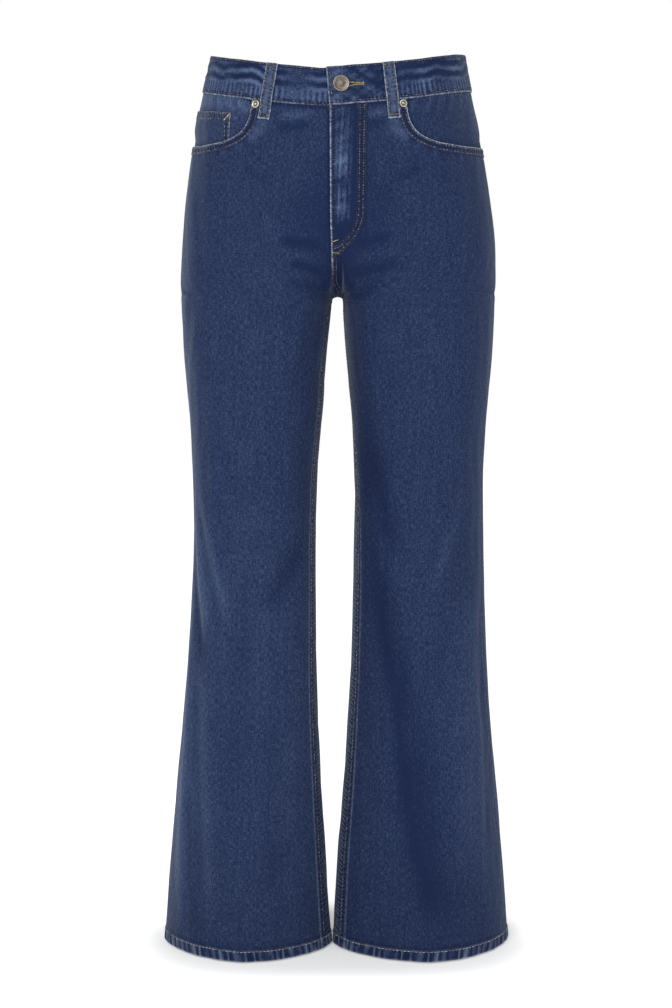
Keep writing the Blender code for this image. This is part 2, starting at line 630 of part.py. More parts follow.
def build_back_pocket(half, name, collection):
    """A patch pocket on a back panel: five-sided, with its point down."""
    across = np.linspace(-1, 1, 11)[None, :]
    down = np.linspace(0, 1, 9)[:, None]
    top_half, foot_half = BACK_POCKET_HALF_WIDTHS
    x = across * (top_half + (foot_half - top_half) * down)
    length = BACK_POCKET_SIDE_HEIGHT + BACK_POCKET_POINT * (1 - np.abs(across))
    level = BACK_POCKET_TOP + BACK_POCKET_SLOPE * x + length * down
    s_mm = FORM.s_per_mm(half, BACK_POCKET_S, level)
    centre = BACK_POCKET_S - BACK_POCKET_DRIFT * down
    cloth_piece(name, half, centre + x * s_mm, level, PATCH_LIFT, collection)


def turned_piece(name, profile, place, lift, steps, collection):
    """A turned metal piece: its profile, as (radius, height) rows from the rim's outer side
    down, screwed round Z, then stood on the form with Z along the surface normal."""
    mesh = bpy.data.meshes.new(name)
    points = [(radius * MM, 0.0, height * MM) for radius, height in profile]
    mesh.from_pydata(points, [(i, i + 1) for i in range(len(points) - 1)], [])
    obj = new_object(name, mesh, "metal", collection)
    screw = obj.modifiers.new("turn", "SCREW")
    screw.steps = screw.render_steps = steps
    screw.use_merge_vertices = True
    screw.merge_threshold = 0.00001
    screw.use_smooth_shade = True
    half, s, level = place
    base = FORM.place(half, np.array([s]), np.array([level]), lift)[0]
    tip = FORM.place(half, np.array([s]), np.array([level]), lift + 10.0)[0]
    normal = Vector(tip - base).normalized()
    obj.matrix_world = Matrix.Translation(Vector(base)) @ normal.to_track_quat("Z", "Y").to_matrix().to_4x4()
    return obj


def build_button(collection):
    """The waistband's shank button: a shallow dished cap on a short post."""
    rim, post = BUTTON_RADIUS, 4.0
    profile = (
        (0.0, 3.5), (rim * 0.55, 3.5), (rim * 0.78, 3.9), (rim * 0.94, 3.7), (rim, 3.1),
        (rim * 0.94, 2.4), (post, 2.1), (post, 0.0), (0.0, 0.0),
    )  # fmt: skip
    turned_piece("button", profile, BUTTON_PLACE, BAND_LIFT[1] + 0.9 + SEAM_GAP, 20, collection)


def build_rivets(collection):
    """The rivets at the front pockets' inner corners: a ringed cap with a domed middle."""
    rim = RIVET_RADIUS
    profile = (
        (0.0, 1.5), (rim * 0.28, 1.3), (rim * 0.42, 0.8), (rim * 0.62, 1.2), (rim * 0.86, 1.2),
        (rim, 0.5), (rim, 0.0), (0.0, 0.0),
    )  # fmt: skip
    for name, place in RIVET_PLACES.items():
        turned_piece(name, profile, place, SEAM_GAP, 12, collection)


def make_finishes():
    """One Principled material for each finish."""
    for name, (colour, metallic, roughness) in FINISHES.items():
        material = bpy.data.materials.new(name)
        material.use_nodes = True
        shader = material.node_tree.nodes["Principled BSDF"]
        shader.inputs["Base Color"].default_value = colour
        shader.inputs["Metallic"].default_value = metallic
        shader.inputs["Roughness"].default_value = roughness


def main():
    """Clears the scene and builds each piece of the jeans."""
    for obj in list(bpy.data.objects):
        bpy.data.objects.remove(obj)
    collection = bpy.data.collections.new("flared_jeans")
    bpy.context.scene.collection.children.link(collection)
    make_finishes()
    for half, side in ((RIGHT, "right"), (LEFT, "left")):
        build_front(half, "front_" + side, collection)
        build_yoke(half, "yoke_" + side, collection)
        build_back(half, "back_" + side, collection)
        build_hem(half, "hem_turn_up_" + side, collection)
        build_pocket_facing(half, "pocket_facing_" + side, collection)
        build_back_pocket(half, "back_pocket_" + side, collection)
    build_coin_pocket(collection)
    build_fly(collection)
    build_waistband(collection)
    for row in LOOP_ROWS:
        build_belt_loop(row, collection)
    build_button(collection)
    build_rivets(collection)


main()
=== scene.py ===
"""Flared five-pocket jeans in dark stretch denim, filled out as if worn, with nobody inside.

Frame: metres, +Z up, the front faces -Y and the wearer's left is +X. The origin is the middle
of the waist opening, level with the top of the side seams. Sizes in the classes below are
millimetres unless they say otherwise, and MM turns them into metres.

Every cloth piece lies on one garment form. A place on it is (half, s, level): the half is the
wearer's right or left, s runs round that half from the front middle or inseam (0) by the side
seam (0.5) to the back middle or inseam (1), and level is the depth below the waist edge. s
below 0 or above 1 carries on round the other half. lift is the height above the form.
"""

import logging
import math
from dataclasses import dataclass, field
from enum import Enum, IntEnum
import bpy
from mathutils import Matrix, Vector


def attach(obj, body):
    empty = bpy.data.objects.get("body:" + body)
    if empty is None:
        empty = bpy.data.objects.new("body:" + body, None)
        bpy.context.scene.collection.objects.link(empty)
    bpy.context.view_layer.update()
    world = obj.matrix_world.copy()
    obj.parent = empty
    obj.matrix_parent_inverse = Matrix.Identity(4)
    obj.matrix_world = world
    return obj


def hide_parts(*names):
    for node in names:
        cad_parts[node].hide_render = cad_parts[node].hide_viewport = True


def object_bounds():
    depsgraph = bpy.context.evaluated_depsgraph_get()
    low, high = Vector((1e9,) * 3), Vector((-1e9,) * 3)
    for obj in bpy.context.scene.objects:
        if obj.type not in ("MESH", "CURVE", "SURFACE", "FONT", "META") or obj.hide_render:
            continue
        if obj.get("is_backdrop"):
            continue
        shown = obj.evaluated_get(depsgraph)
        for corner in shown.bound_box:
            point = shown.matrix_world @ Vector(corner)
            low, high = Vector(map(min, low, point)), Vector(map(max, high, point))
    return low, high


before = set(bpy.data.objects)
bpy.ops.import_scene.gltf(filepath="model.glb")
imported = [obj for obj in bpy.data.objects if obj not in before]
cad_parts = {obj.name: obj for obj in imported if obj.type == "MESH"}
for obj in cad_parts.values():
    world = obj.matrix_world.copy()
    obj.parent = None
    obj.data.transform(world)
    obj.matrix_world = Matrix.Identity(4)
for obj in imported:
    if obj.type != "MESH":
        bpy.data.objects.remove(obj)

from types import SimpleNamespace
from typing import Any

import bpy
import numpy as np
from mathutils import Matrix, Vector

LOG = logging.getLogger("jeans")
MM = 0.001
Array = np.ndarray
Pair = tuple[float, float]
Piece, Material = bpy.types.Object, bpy.types.Material


class Half(IntEnum):
    """The wearer's right or left half. The value is the sign of X there."""

    RIGHT = -1
    LEFT = 1

    @property
    def word(self) -> str:
        """The half's name as a piece's name ends with it."""
        return self.name.lower()


class Slot(Enum):
    """The record's material slots."""

    DENIM = "denim"
    UNDER = "denim_under"
    TAPE = "zip_tape"
    METAL = "metal"


# ---- Driving dimensions, as the solid parts have them ----
OUTSEAM = 1058.0
BAND = 42.0
CROTCH = 282.0
WEB_HALF_WIDTH = 6.5
WEB_ROUNDNESS = 3.2
FRONT_RISE_CURVE = 95.0
BACK_RISE_CURVE = 150.0
RISE_ROUNDNESS = 2.2
SOFT_LENGTH = 16.0
SOFT_WIDTH = 0.12
SEAM_GAP = 0.3
DENIM_THICKNESS = 1.2
WAIST_DIP_ONE_WAVE = -21.0
WAIST_DIP_TWO_WAVES = -7.5
WAIST_DIP_END = 240.0
WAIST_TILT = 1.5

# ---- How finely the form is divided ----
ROW_SPACING = 2.0
CROTCH_ROW_SPACING = 0.5
CROTCH_BAND = (-30.0, 20.0)
SECTION_SAMPLES = 60
WEB_SAMPLES = 8
RING_STEPS = 240

# One row for each section, top to bottom. out and in are distances from the middle plane to the
# leg's outer and inner side; front and back are depths before and behind it; side_y and in_y are
# where the outer and inner sides lie; round is the superellipse power; apex is how far out the
# section is deepest.
FORM_COLUMNS = (
    "level", "right_out", "left_out", "right_in", "left_in", "front", "back",
    "side_y", "in_y", "front_round", "back_round", "front_apex", "back_apex",
)
FORM_ROWS = (
    (-30, 144, 145, 6.5, 6.5, 102, 98, 4, -10, 2.0, 2.0, 12, 14),
    (0, 148, 149, 6.5, 6.5, 105, 101, 4, -10, 2.0, 2.0, 14, 16),
    (42, 158, 157, 6.5, 6.5, 110, 107, 4, -10, 2.0, 2.0, 20, 26),
    (100, 169, 169, 6.5, 6.5, 114, 119, 5, -10, 2.1, 2.05, 34, 52),
    (160, 178, 179, 6.5, 6.5, 115, 130, 6, -10, 2.15, 2.1, 56, 74),
    (215, 183, 186, 6.5, 6.5, 111, 134, 7, -10, 2.2, 2.15, 76, 84),
    (282, 185, 186, 6.5, 6.5, 102, 117, 5, -10, 2.2, 2.1, 92, 92),
    (350, 181.5, 183, 13, 10.5, 96, 100, 3, -9, 2.15, 2.05, 94, 94),
    (420, 176, 177.5, 18, 16.5, 90, 90, 0, -8, 2.1, 2.05, 94, 94),
    (490, 172, 173, 24, 20, 85, 78, -2, -7, 2.05, 2.0, 94, 94),
    (560, 171, 174, 26, 20, 81, 68, -3, -6, 2.05, 2.0, 94, 94),
    (640, 175, 176, 26, 18.5, 77, 66, -1, -5, 2.05, 2.0, 94, 94),
    (740, 182.5, 181.5, 25, 15, 75, 74, 3, -5, 2.0, 2.0, 97, 97),
    (850, 193.5, 191, 20, 8, 75, 84, 7, -6, 1.9, 1.95, 101, 101),
    (960, 203, 201, 14, -0.5, 77, 93, 10, -7, 1.8, 1.9, 104, 104),
    (1058, 212, 208.5, 7.5, -5.5, 79, 100, 12, -8, 1.7, 1.85, 107, 107),
    (1090, 215, 211, 6, -6.5, 80, 103, 12, -8, 1.7, 1.85, 108, 108),
)
# The inseam lies this far forward of the innermost line, and the side seam this far forward of
# the outermost one, along the cloth.
SEAM_COLUMNS = ("level", "inseam_turn", "right_side_turn", "left_side_turn")
SEAM_ROWS = (
    (-30, 0, 0, 0),
    (290, 0, -3, 0),
    (400, 18, -4, 8),
    (560, 29, -5, 22),
    (700, 31, -5, 31),
    (830, 31, -5, 26),
    (1090, 30, -4, 26),
)


def ramp(low: float, high: float, value: Array | float) -> Array:
    """0 below low, 1 above high and a cubic rise t * t * (3 - 2t) between."""
    t = np.clip((np.asarray(value, float) - low) / (high - low), 0.0, 1.0)
    return t * t * (3 - 2 * t)


def falling(low: float, high: float, value: Array | float) -> Array:
    """1 below low, 0 above high and a smooth fall between."""
    return 1 - ramp(low, high, value)

def bell(value: Array, width: float) -> Array:
    """A bump of height 1 round 0: e to the minus (value / width) squared."""
    return np.exp(-((value / width) ** 2))


def wander(x: Array, period: float, seed: float) -> Array:
    """A wave from about -1 to 1 that never repeats: three sines whose periods share no factor."""
    turn = 2 * math.pi * x / period
    return (
        0.5 * np.sin(turn + seed)
        + 0.3 * np.sin(turn / 0.617 + 2.3 * seed + 1.1)
        + 0.2 * np.sin(turn / 0.371 + 4.1 * seed + 0.4)
    )


def smooth_columns(names: tuple[str, ...], rows: tuple, levels: Array) -> dict[str, Array]:
    """Each column of a table as a cubic Hermite curve, read at the given levels.

    Args:
        names: The columns' names, the level first.
        rows: The table.
        levels: Where to read it.

    Returns:
        The values by column, without the level.
    """
    table = np.array(rows, float)
    knots = table[:, 0]
    spans = np.diff(knots)
    row = np.clip(np.searchsorted(knots, levels, "right") - 1, 0, len(spans) - 1)
    t = np.clip((levels - knots[row]) / spans[row], 0.0, 1.0)
    columns = {}
    for index, name in enumerate(names[1:], start=1):
        values = table[:, index]
        rises = np.diff(values) / spans
        slopes = np.concatenate([rises[:1], (rises[:-1] + rises[1:]) / 2, rises[-1:]])
        start, end = values[row], values[row + 1]
        pull_start, pull_end = slopes[row] * spans[row], slopes[row + 1] * spans[row]
        columns[name] = (
            start * (1 + 2 * t) * (1 - t) ** 2
            + end * t * t * (3 - 2 * t)
            + pull_start * t * (1 - t) ** 2
            - pull_end * t * t * (1 - t)
        )
    return columns


def unit(vectors: Array) -> Array:
    """Vectors made one long."""
    return vectors / np.maximum(np.linalg.norm(vectors, axis=-1, keepdims=True), 1e-12)

def run_along(points: Array) -> Array:
    """The length along a path at each of its points."""
    return np.concatenate([[0.0], np.cumsum(np.linalg.norm(np.diff(points, axis=0), axis=1))])

def read_path(points: Array, run: Array, at: Array) -> Array:
    """A path's points, or what it carries, at the lengths at."""
    return np.stack([np.interp(at, run, column) for column in points.T], axis=1)

@dataclass(frozen=True)
class Fold:
    """A soft ridge, or a valley where height is negative, along a line on the form.

    The line runs from (s_top, level_top) to (s_foot, level_foot) and may bow sideways. Across
    it the height is a bell as wide as width, and it fades out towards both ends.
    """

    s_top: float
    level_top: float
    s_foot: float
    level_foot: float
    width: float
    height: float
    bow: float = 0.0

    def rise(self, run: Array, s: Array, level: Array) -> Array:
        """The height at each place of a half run long: height * bell(distance across) * ends' fade."""
        line_x, line_y = (self.s_foot - self.s_top) * run, self.level_foot - self.level_top
        x, y = (s - self.s_top) * run, level - self.level_top
        length = np.hypot(line_x, line_y)
        t = (x * line_x + y * line_y) / length**2
        across = (x * line_y - y * line_x) / length + self.bow * (1 - (2 * t - 1) ** 2)
        fade = ramp(-0.08, 0.3, t) * falling(0.7, 1.08, t)
        return self.height * fade * bell(across, self.width)


# The columns are s_top, level_top, s_foot, level_foot, width, height and, where it bows, bow.
RIGHT_FOLDS = (
    # The large folds nearly as the solid parts have them.
    (0.42, 520, 0.335, 690, 10, 2.6),
    (0.42, 640, 0.385, 1040, 14, 2.2),
    (0.03, 560, 0.17, 650, 16, -2.0),
    (0.84, 560, 0.76, 700, 18, -3.4),
    (0.6, 620, 0.66, 1020, 24, 3.4),
    # Pulls that fan out from the crotch.
    (0.13, 226, 0.03, 235, 5, -1.1, 2),
    (0.12, 252, 0.036, 266, 5, -1.3, 3),
    (0.135, 240, 0.05, 250, 5, 0.25, 2),
    (0.075, 276, 0.02, 286, 6, -1.8, 3),
    (0.15, 272, 0.06, 288, 8, -0.9, 3),
    (0.965, 236, 0.87, 262, 8, -1.8, 4),
    (0.975, 262, 0.85, 300, 10, -2.4, 5),
    # Knee breaks, and the long soft drapes below them.
    (0.393, 500, 0.262, 669, 7, 1.5),
    (0.44, 560, 0.34, 720, 9, -1.4),
    (0.35, 700, 0.283, 1030, 10, 1.3),
    (0.15, 700, 0.12, 1030, 18, -0.7),
    (0.42, 650, 0.387, 1030, 5, 0.7),
    (0.22, 600, 0.24, 900, 20, -1.2),
    (0.92, 520, 0.86, 640, 10, -1.8),
    (0.7, 560, 0.78, 640, 12, 1.8),
    (0.76, 720, 0.74, 1010, 18, -2.2),
    # Small pulls below the waistband and beside the pockets.
    (0.05, 50, 0.14, 56, 4, 0.9, 2),
    (0.06, 62, 0.15, 72, 5, -0.9, 2),
    (0.215, 128, 0.15, 150, 6, -0.6),
)
LEFT_FOLDS = (
    # The large folds nearly as the solid parts have them.
    (0.06, 590, 0.215, 810, 26, -3.9),
    (0.205, 780, 0.285, 1030, 30, -5.4, 14),
    (0.02, 530, 0.12, 660, 17, -1.4),
    (0.42, 600, 0.37, 980, 22, 2.6),
    (0.06, 440, 0.15, 590, 18, -2.4),
    (0.87, 540, 0.77, 690, 20, -3.2),
    (0.8, 700, 0.72, 1030, 26, -3.8),
    # Pulls that fan out from the crotch.
    (0.12, 218, 0.03, 230, 5, -1.1, -2),
    (0.15, 249, 0.036, 260, 6, -1.3, -3),
    (0.075, 276, 0.02, 284, 6, -1.8, -3),
    (0.15, 232, 0.05, 245, 5, 0.25, -2),
    (0.14, 272, 0.06, 288, 8, -0.9, -3),
    (0.965, 240, 0.875, 266, 8, -1.8, -4),
    (0.975, 266, 0.85, 304, 10, -2.2, -5),
    # Knee breaks, and the long soft drapes below them.
    (0.445, 690, 0.405, 1010, 6, 0.8),
    (0.089, 640, 0.15, 740, 8, -1.2),
    (0.15, 730, 0.186, 900, 9, -1.4),
    (0.184, 890, 0.259, 1000, 9, -1.2),
    (0.36, 525, 0.27, 625, 9, 0.8),
    (0.345, 690, 0.325, 960, 18, 0.9),
    (0.7, 560, 0.79, 650, 12, 1.9),
    (0.62, 640, 0.6, 980, 16, 2.0),
    # Small pulls below the waistband and beside the pockets.
    (0.065, 56, 0.13, 50, 4, 0.8, 2),
    (0.065, 70, 0.12, 62, 5, -0.6, 2),
    (0.185, 128, 0.13, 148, 6, -0.6),
)
FOLDS = {Half.RIGHT: [Fold(*row) for row in RIGHT_FOLDS], Half.LEFT: [Fold(*row) for row in LEFT_FOLDS]}


def rise_curve(height: Array, run: float) -> Array:
    """How far a crotch seam has gone from the crotch point (0) to the body (1) at a height."""
    part = 1 - np.clip(height / run, 0.0, 1.0)
    return (1 - part**RISE_ROUNDNESS) ** (1 / RISE_ROUNDNESS)


def section_points(half: Half, columns: dict[str, Array], level: Array) -> Array:
    """One half's sections as polylines, from the front middle round to the back.

    Each is an arch across the middle, then two quarters of a superellipse before the side and
    two behind it: x and y are powers of a sine and a cosine, turned level towards the waist.

    Args:
        half: Which half.
        columns: The form's measures at each level.
        level: The levels.

    Returns:
        Points in millimetres, as (rows, points, 2).
    """
    side = half.word
    col = {name: values[:, None] for name, values in columns.items()}
    out, inner = col[side + "_out"], col[side + "_in"]
    front, back, in_y, side_y = -col["front"], col["back"], col["in_y"], col["side_y"]
    height = (CROTCH - level)[:, None]

    web = WEB_HALF_WIDTH
    power = WEB_ROUNDNESS
    arch_start = (web**power - np.clip(web + height, 0, web) ** power).clip(0) ** (1 / power)
    start = np.where(height > 0, 0.0, np.where(height > -web, arch_start, inner))
    web_end = np.where(height > -web, web, inner)
    web_x = start + (web_end - start) * np.linspace(0, 1, WEB_SAMPLES)[None, :]
    drop = web - (web**power - web_x**power).clip(0) ** (1 / power)
    rise = np.where(height > -web, height + drop, 0.0)
    web_front = in_y + (front - in_y) * rise_curve(rise, FRONT_RISE_CURVE)
    web_back = in_y + (back - in_y) * rise_curve(rise, BACK_RISE_CURVE)

    turn = np.linspace(0, math.pi / 2, SECTION_SAMPLES)[None, :]
    quarters = []
    for apex, y_far, y_web, rise_run, power, backward in (
        (col["front_apex"], front, web_front, FRONT_RISE_CURVE, col["front_round"], False),
        (col["back_apex"], back, web_back, BACK_RISE_CURVE, col["back_round"], True),
    ):
        above = ramp(0, rise_run, height)
        bend = 2.0 / power
        bend_in = 1 + (bend - 1) * (1 - above)
        y_start = y_web[:, -1:]
        inner_x = web_end + (apex - web_end) * (1 - np.cos(turn) ** bend_in)
        inner_y = y_start + (y_far - y_start) * np.sin(turn) ** (bend_in * (1 + 3 * above))
        outer_x = apex + (out - apex) * np.sin(turn) ** bend
        outer_y = side_y + (y_far - side_y) * np.cos(turn) ** bend
        x = np.concatenate([inner_x[:, 1:], outer_x[:, 1:]], axis=1)
        y = np.concatenate([inner_y[:, 1:], outer_y[:, 1:]], axis=1)
        quarters.append((x[:, -2::-1], y[:, -2::-1]) if backward else (x, y))
    x = np.concatenate([web_x, quarters[0][0], quarters[1][0], web_x[:, ::-1]], axis=1)
    y = np.concatenate([web_front, quarters[0][1], quarters[1][1], web_back[:, ::-1]], axis=1)
    return np.stack([x * half, y], axis=2)


class Form:
    """The garment's outer surface, as a lattice of rows and even steps of s for each half."""

    def __init__(self) -> None:
        """Works out both halves' lattices of points and normals."""
        self.levels = self.row_levels()
        columns = smooth_columns(FORM_COLUMNS, FORM_ROWS, self.levels)
        seams = smooth_columns(SEAM_COLUMNS, SEAM_ROWS, self.levels)
        below = self.levels > CROTCH
        turn_in = np.where(below, np.clip(seams["inseam_turn"], 0, None), 0.0)
        self.points: dict[Half, Array] = {}
        self.normals: dict[Half, Array] = {}
        self.front_run: dict[Half, Array] = {}
        self.back_run: dict[Half, Array] = {}
        for half in Half:
            turn_out = seams[half.word + "_side_turn"]
            lines = section_points(half, columns, self.levels)
            rows = [self.resampled(*row) for row in zip(lines, turn_in, turn_out)]
            flat = np.array([row[0] for row in rows])
            heights = np.broadcast_to(-self.levels[:, None, None], flat.shape[:2] + (1,))
            flat += (self.softened(flat) - flat) * self.soft_share()
            self.points[half] = np.concatenate([flat, heights], axis=2)
            self.normals[half] = self.lattice_normals(self.points[half], half)
            self.front_run[half] = np.array([row[1] for row in rows])
            self.back_run[half] = np.array([row[2] for row in rows])

    @staticmethod
    def row_levels() -> Array:
        """The levels of the lattice's rows, closer together round the crotch."""
        low, high = CROTCH + CROTCH_BAND[0], CROTCH + CROTCH_BAND[1]
        spans = (
            np.arange(FORM_ROWS[0][0], low, ROW_SPACING),
            np.arange(low, high, CROTCH_ROW_SPACING),
            np.arange(high, FORM_ROWS[-1][0] + ROW_SPACING, ROW_SPACING),
        )
        return np.unique(np.concatenate(spans))

    @staticmethod
    def resampled(line: Array, turn_in: float, turn_out: float) -> tuple[Array, float, float]:
        """A section at even steps of s, its inseam and side seam turned forward along the cloth by
        turn_in and turn_out, and the lengths of its front and back part."""
        side_at = WEB_SAMPLES + 2 * (SECTION_SAMPLES - 1) - 1
        run = run_along(line)
        total, middle = run[-1], run[side_at] - turn_out
        s = np.linspace(0, 1, RING_STEPS + 1)
        front = turn_in + (middle - turn_in) * s * 2
        back = middle + (total + turn_in - middle) * (s * 2 - 1)
        wanted = np.where(s <= 0.5, front, back)
        run_on = np.concatenate([run, run[1:] + total])
        points = read_path(np.concatenate([line, line[1:]]), run_on, wanted)
        return points, middle - turn_in, total + turn_in - middle

    def softened(self, flat: Array) -> Array:
        """The rows averaged with their neighbours above and below, by a bell of weights."""
        weights = bell(self.levels[:, None] - self.levels[None, :], SOFT_LENGTH)
        weights *= np.gradient(self.levels)[None, :]
        weights /= weights.sum(axis=1, keepdims=True)
        first, last = self.levels[0] + 3 * SOFT_LENGTH, self.levels[-1] - 3 * SOFT_LENGTH
        inside = ((self.levels > first) & (self.levels < last))[:, None, None]
        return np.where(inside, np.einsum("ij,jkl->ikl", weights, flat), flat)

    @staticmethod
    def soft_share() -> Array:
        """How far each column is softened: not at the middle or inseam, fully a little way off."""
        s = np.linspace(0, 1, RING_STEPS + 1)
        return ramp(0, SOFT_WIDTH, np.minimum(s, 1 - s))[None, :, None]

    def lattice_normals(self, points: Array, half: Half) -> Array:
        """Unit normals facing out: the cross product of the slopes down and along the lattice."""
        along = np.gradient(points, axis=1)
        down = np.gradient(points, self.levels, axis=0)
        return unit(np.cross(down, along) * half)

    def read(self, lattice: Array, s: Array, height: Array) -> Array:
        """A lattice between its points, straight between neighbours, at each s and height."""
        row = np.interp(-height, self.levels, np.arange(len(self.levels)))
        column = np.clip(s, 0, 1) * RING_STEPS
        r0 = np.clip(row.astype(int), 0, len(self.levels) - 2)
        c0 = np.clip(column.astype(int), 0, RING_STEPS - 1)
        fr, fc = (row - r0)[..., None], (column - c0)[..., None]
        top = lattice[r0, c0] * (1 - fc) + lattice[r0, c0 + 1] * fc
        foot = lattice[r0 + 1, c0] * (1 - fc) + lattice[r0 + 1, c0 + 1] * fc
        return top * (1 - fr) + foot * fr

    def height_of(self, half: Array, s: Array, level: Array) -> Array:
        """Minus the level, plus the waist edge's dip: a cosine in each of two waves."""
        dip = WAIST_DIP_TWO_WAVES * (1 + np.cos(2 * math.pi * s))
        dip += WAIST_DIP_ONE_WAVE * np.cos(math.pi * s)
        dip += half * WAIST_TILT * ramp(0, 0.05, s) * falling(0.35, 0.5, s)
        return -level + dip * falling(BAND, WAIST_DIP_END, level)

    def run(self, half: Half, level: Array | float) -> Array:
        """The half's whole length round, at each level."""
        return np.interp(level, self.levels, self.front_run[half] + self.back_run[half])

    def relief(self, half: Half, s: Array, level: Array) -> Array:
        """The folds' heights in millimetres, and the faint waviness between them: three long waves
        across the leg whose phases drift down it, faded out at the seams in the middle."""
        run = self.run(half, level)
        rise = sum(fold.rise(run, s, level) for fold in FOLDS[half])
        ripple = np.zeros_like(run * s)
        for index, (across, down, height) in enumerate(
            ((61.0, 430.0, 0.35), (37.0, 290.0, 0.22), (23.0, 97.0, 0.12))
        ):
            phase = 1.7 * index + 0.9 * half
            drift = 1.3 * np.sin(2 * math.pi * level / down + 2.1 * phase)
            ripple += height * np.sin(2 * math.pi * s * run / across + drift + phase)
        return rise + ripple * ramp(0, 0.06, np.minimum(s, 1 - s))

    def painted_fold_shading(self, half: Half, s: Array, level: Array) -> Array:
        """Painted light and shade on the folds, lighter on ridges and darker in valleys: by height over
        width.
        """
        run = self.run(half, level)
        s = np.where(level > CROTCH + 1, s % 1.0, s)
        marks = (fold.rise(run, s, level) / fold.width for fold in FOLDS[half])
        return 10.0 * sum(marks)

    def place(self, half: Any, s: Any, level: Any, lift: Any = 0.0) -> Array:
        """Points at (s, level), raised by the relief and by lift.

        Args:
            half: One half, or one for each place.
            s: Places round it.
            level: Depths below the waist edge.
            lift: Heights above the form.

        Returns:
            Points in metres.
        """
        half, s, level, lift = np.broadcast_arrays(half, s, level, lift)
        s, level = s.astype(float), level.astype(float)
        s = np.where(level > CROTCH + 1, s % 1.0, s)  # A leg is a ring.
        other = (s < 0) | (s > 1)
        folded = np.where(s < 0, -s, np.where(s > 1, 2 - s, s))
        real_half = np.where(other, -half, half)
        height = self.height_of(real_half, folded, level)
        points = np.zeros(s.shape + (3,))
        for one in Half:
            here = real_half == one
            normal = unit(self.read(self.normals[one], folded[here], height[here]))
            rise = self.relief(one, folded[here], level[here])
            surface = self.read(self.points[one], folded[here], height[here])
            points[here] = surface + normal * (lift[here] + rise)[..., None]
        return points * MM

    def s_per_mm(self, half: Half, s: float, level: Any) -> Array:
        """How much s one millimetre along the cloth is, on that half's front or back part."""
        runs = self.front_run if s < 0.5 else self.back_run
        return 0.5 / np.interp(level, self.levels, runs[half])


# ---- Shader maths ----


class Wire:
    """A shader socket in an expression. Each operator adds the Math node that works it out."""

    def __init__(self, board: "Board", socket: bpy.types.NodeSocket) -> None:
        """Holds the board that new nodes go on, and the socket."""
        self.board, self.socket = board, socket

    def maths(self, operation: str, *values: Any) -> "Wire":
        """A Math node of that operation on the values, which may be wires or numbers."""
        inputs = dict(enumerate(values))
        return self.board.node("ShaderNodeMath", {"operation": operation}, inputs)

    def __add__(self, other: Any) -> "Wire":
        """The sum."""
        return self.maths("ADD", self, other)

    def __sub__(self, other: Any) -> "Wire":
        """This less the other."""
        return self.maths("SUBTRACT", self, other)

    def __rsub__(self, other: Any) -> "Wire":
        """The other less this."""
        return self.maths("SUBTRACT", other, self)

    def __mul__(self, other: Any) -> "Wire":
        """The product."""
        return self.maths("MULTIPLY", self, other)

    __radd__, __rmul__ = __add__, __mul__

    def sine(self) -> "Wire":
        """The sine of the value."""
        return self.maths("SINE", self)

    def above(self, other: Any) -> "Wire":
        """The larger of the value and another."""
        return self.maths("MAXIMUM", self, other)

    def step(self, low: float, high: float) -> "Wire":
        """0 below low, 1 above high and a smooth rise between."""
        inputs = {"Value": self, "From Min": low, "From Max": high}
        return self.board.node("ShaderNodeMapRange", {"interpolation_type": "SMOOTHSTEP"}, inputs)


class Board:
    """A material's nodes, and the short ways of adding to them."""

    def __init__(self, name: str) -> None:
        """Starts a material with its Principled shader."""
        self.material = bpy.data.materials.new(name)
        self.material.use_nodes = True
        self.tree = self.material.node_tree
        self.shader = self.tree.nodes["Principled BSDF"]

    def node(
        self,
        kind: str,
        settings: dict[str, Any] | None = None,
        inputs: dict[Any, Any] | None = None,
        output: Any = 0,
    ) -> Wire:
        """Adds a node, sets its properties, feeds its inputs and hands back one output as a wire."""
        node = self.tree.nodes.new(kind)
        for name, value in (settings or {}).items():
            setattr(node, name, value)
        for key, value in (inputs or {}).items():
            self.feed(node.inputs[key], value)
        return Wire(self, node.outputs[output])

    def feed(self, socket: bpy.types.NodeSocket, value: Any) -> None:
        """Links a wire to a socket, or sets the socket's value."""
        if isinstance(value, Wire):
            self.tree.links.new(value.socket, socket)
        else:
            socket.default_value = value

    def attribute(self, name: str, output: str = "Fac") -> Wire:
        """One of the mesh's own attributes."""
        return self.node("ShaderNodeAttribute", {"attribute_name": name}, output=output)

    def scaled(self, vector: Wire, x: float, y: float, z: float = 1.0) -> Wire:
        """A vector with each part multiplied."""
        inputs = {0: vector, 1: (x, y, z)}
        return self.node("ShaderNodeVectorMath", {"operation": "MULTIPLY"}, inputs)

    def noise(self, vector: Wire, scale: float, detail: float = 2.0, rough: float = 0.5) -> Wire:
        """Smooth noise, from 0 to 1 round 0.5."""
        inputs = {"Vector": vector, "Scale": scale, "Detail": detail, "Roughness": rough}
        return self.node("ShaderNodeTexNoise", None, inputs)

    def blend(self, share: Any, low: Any, high: Any) -> Wire:
        """Two colours mixed by share."""
        return self.node("ShaderNodeMix", {"data_type": "RGBA"}, {0: share, 6: low, 7: high}, 2)

    def bump(self, height: Wire, distance: float) -> Wire:
        """A Bump node over a height, where 1 stands distance metres high."""
        return self.node("ShaderNodeBump", None, {"Height": height, "Distance": distance, "Strength": 1.0})

    def parts(self, vector: Wire) -> list[Wire]:
        """A vector's three parts."""
        node = self.node("ShaderNodeSeparateXYZ", None, {0: vector}).socket.node
        return [Wire(self, output) for output in node.outputs]

    def finish(self, **sockets: Any) -> Material:
        """Feeds the shader's sockets, named with _ for a space, and gives the material."""
        for name, value in sockets.items():
            self.feed(self.shader.inputs[name.replace("_", " ").title()], value)
        return self.material


Colour = tuple[float, float, float, float]


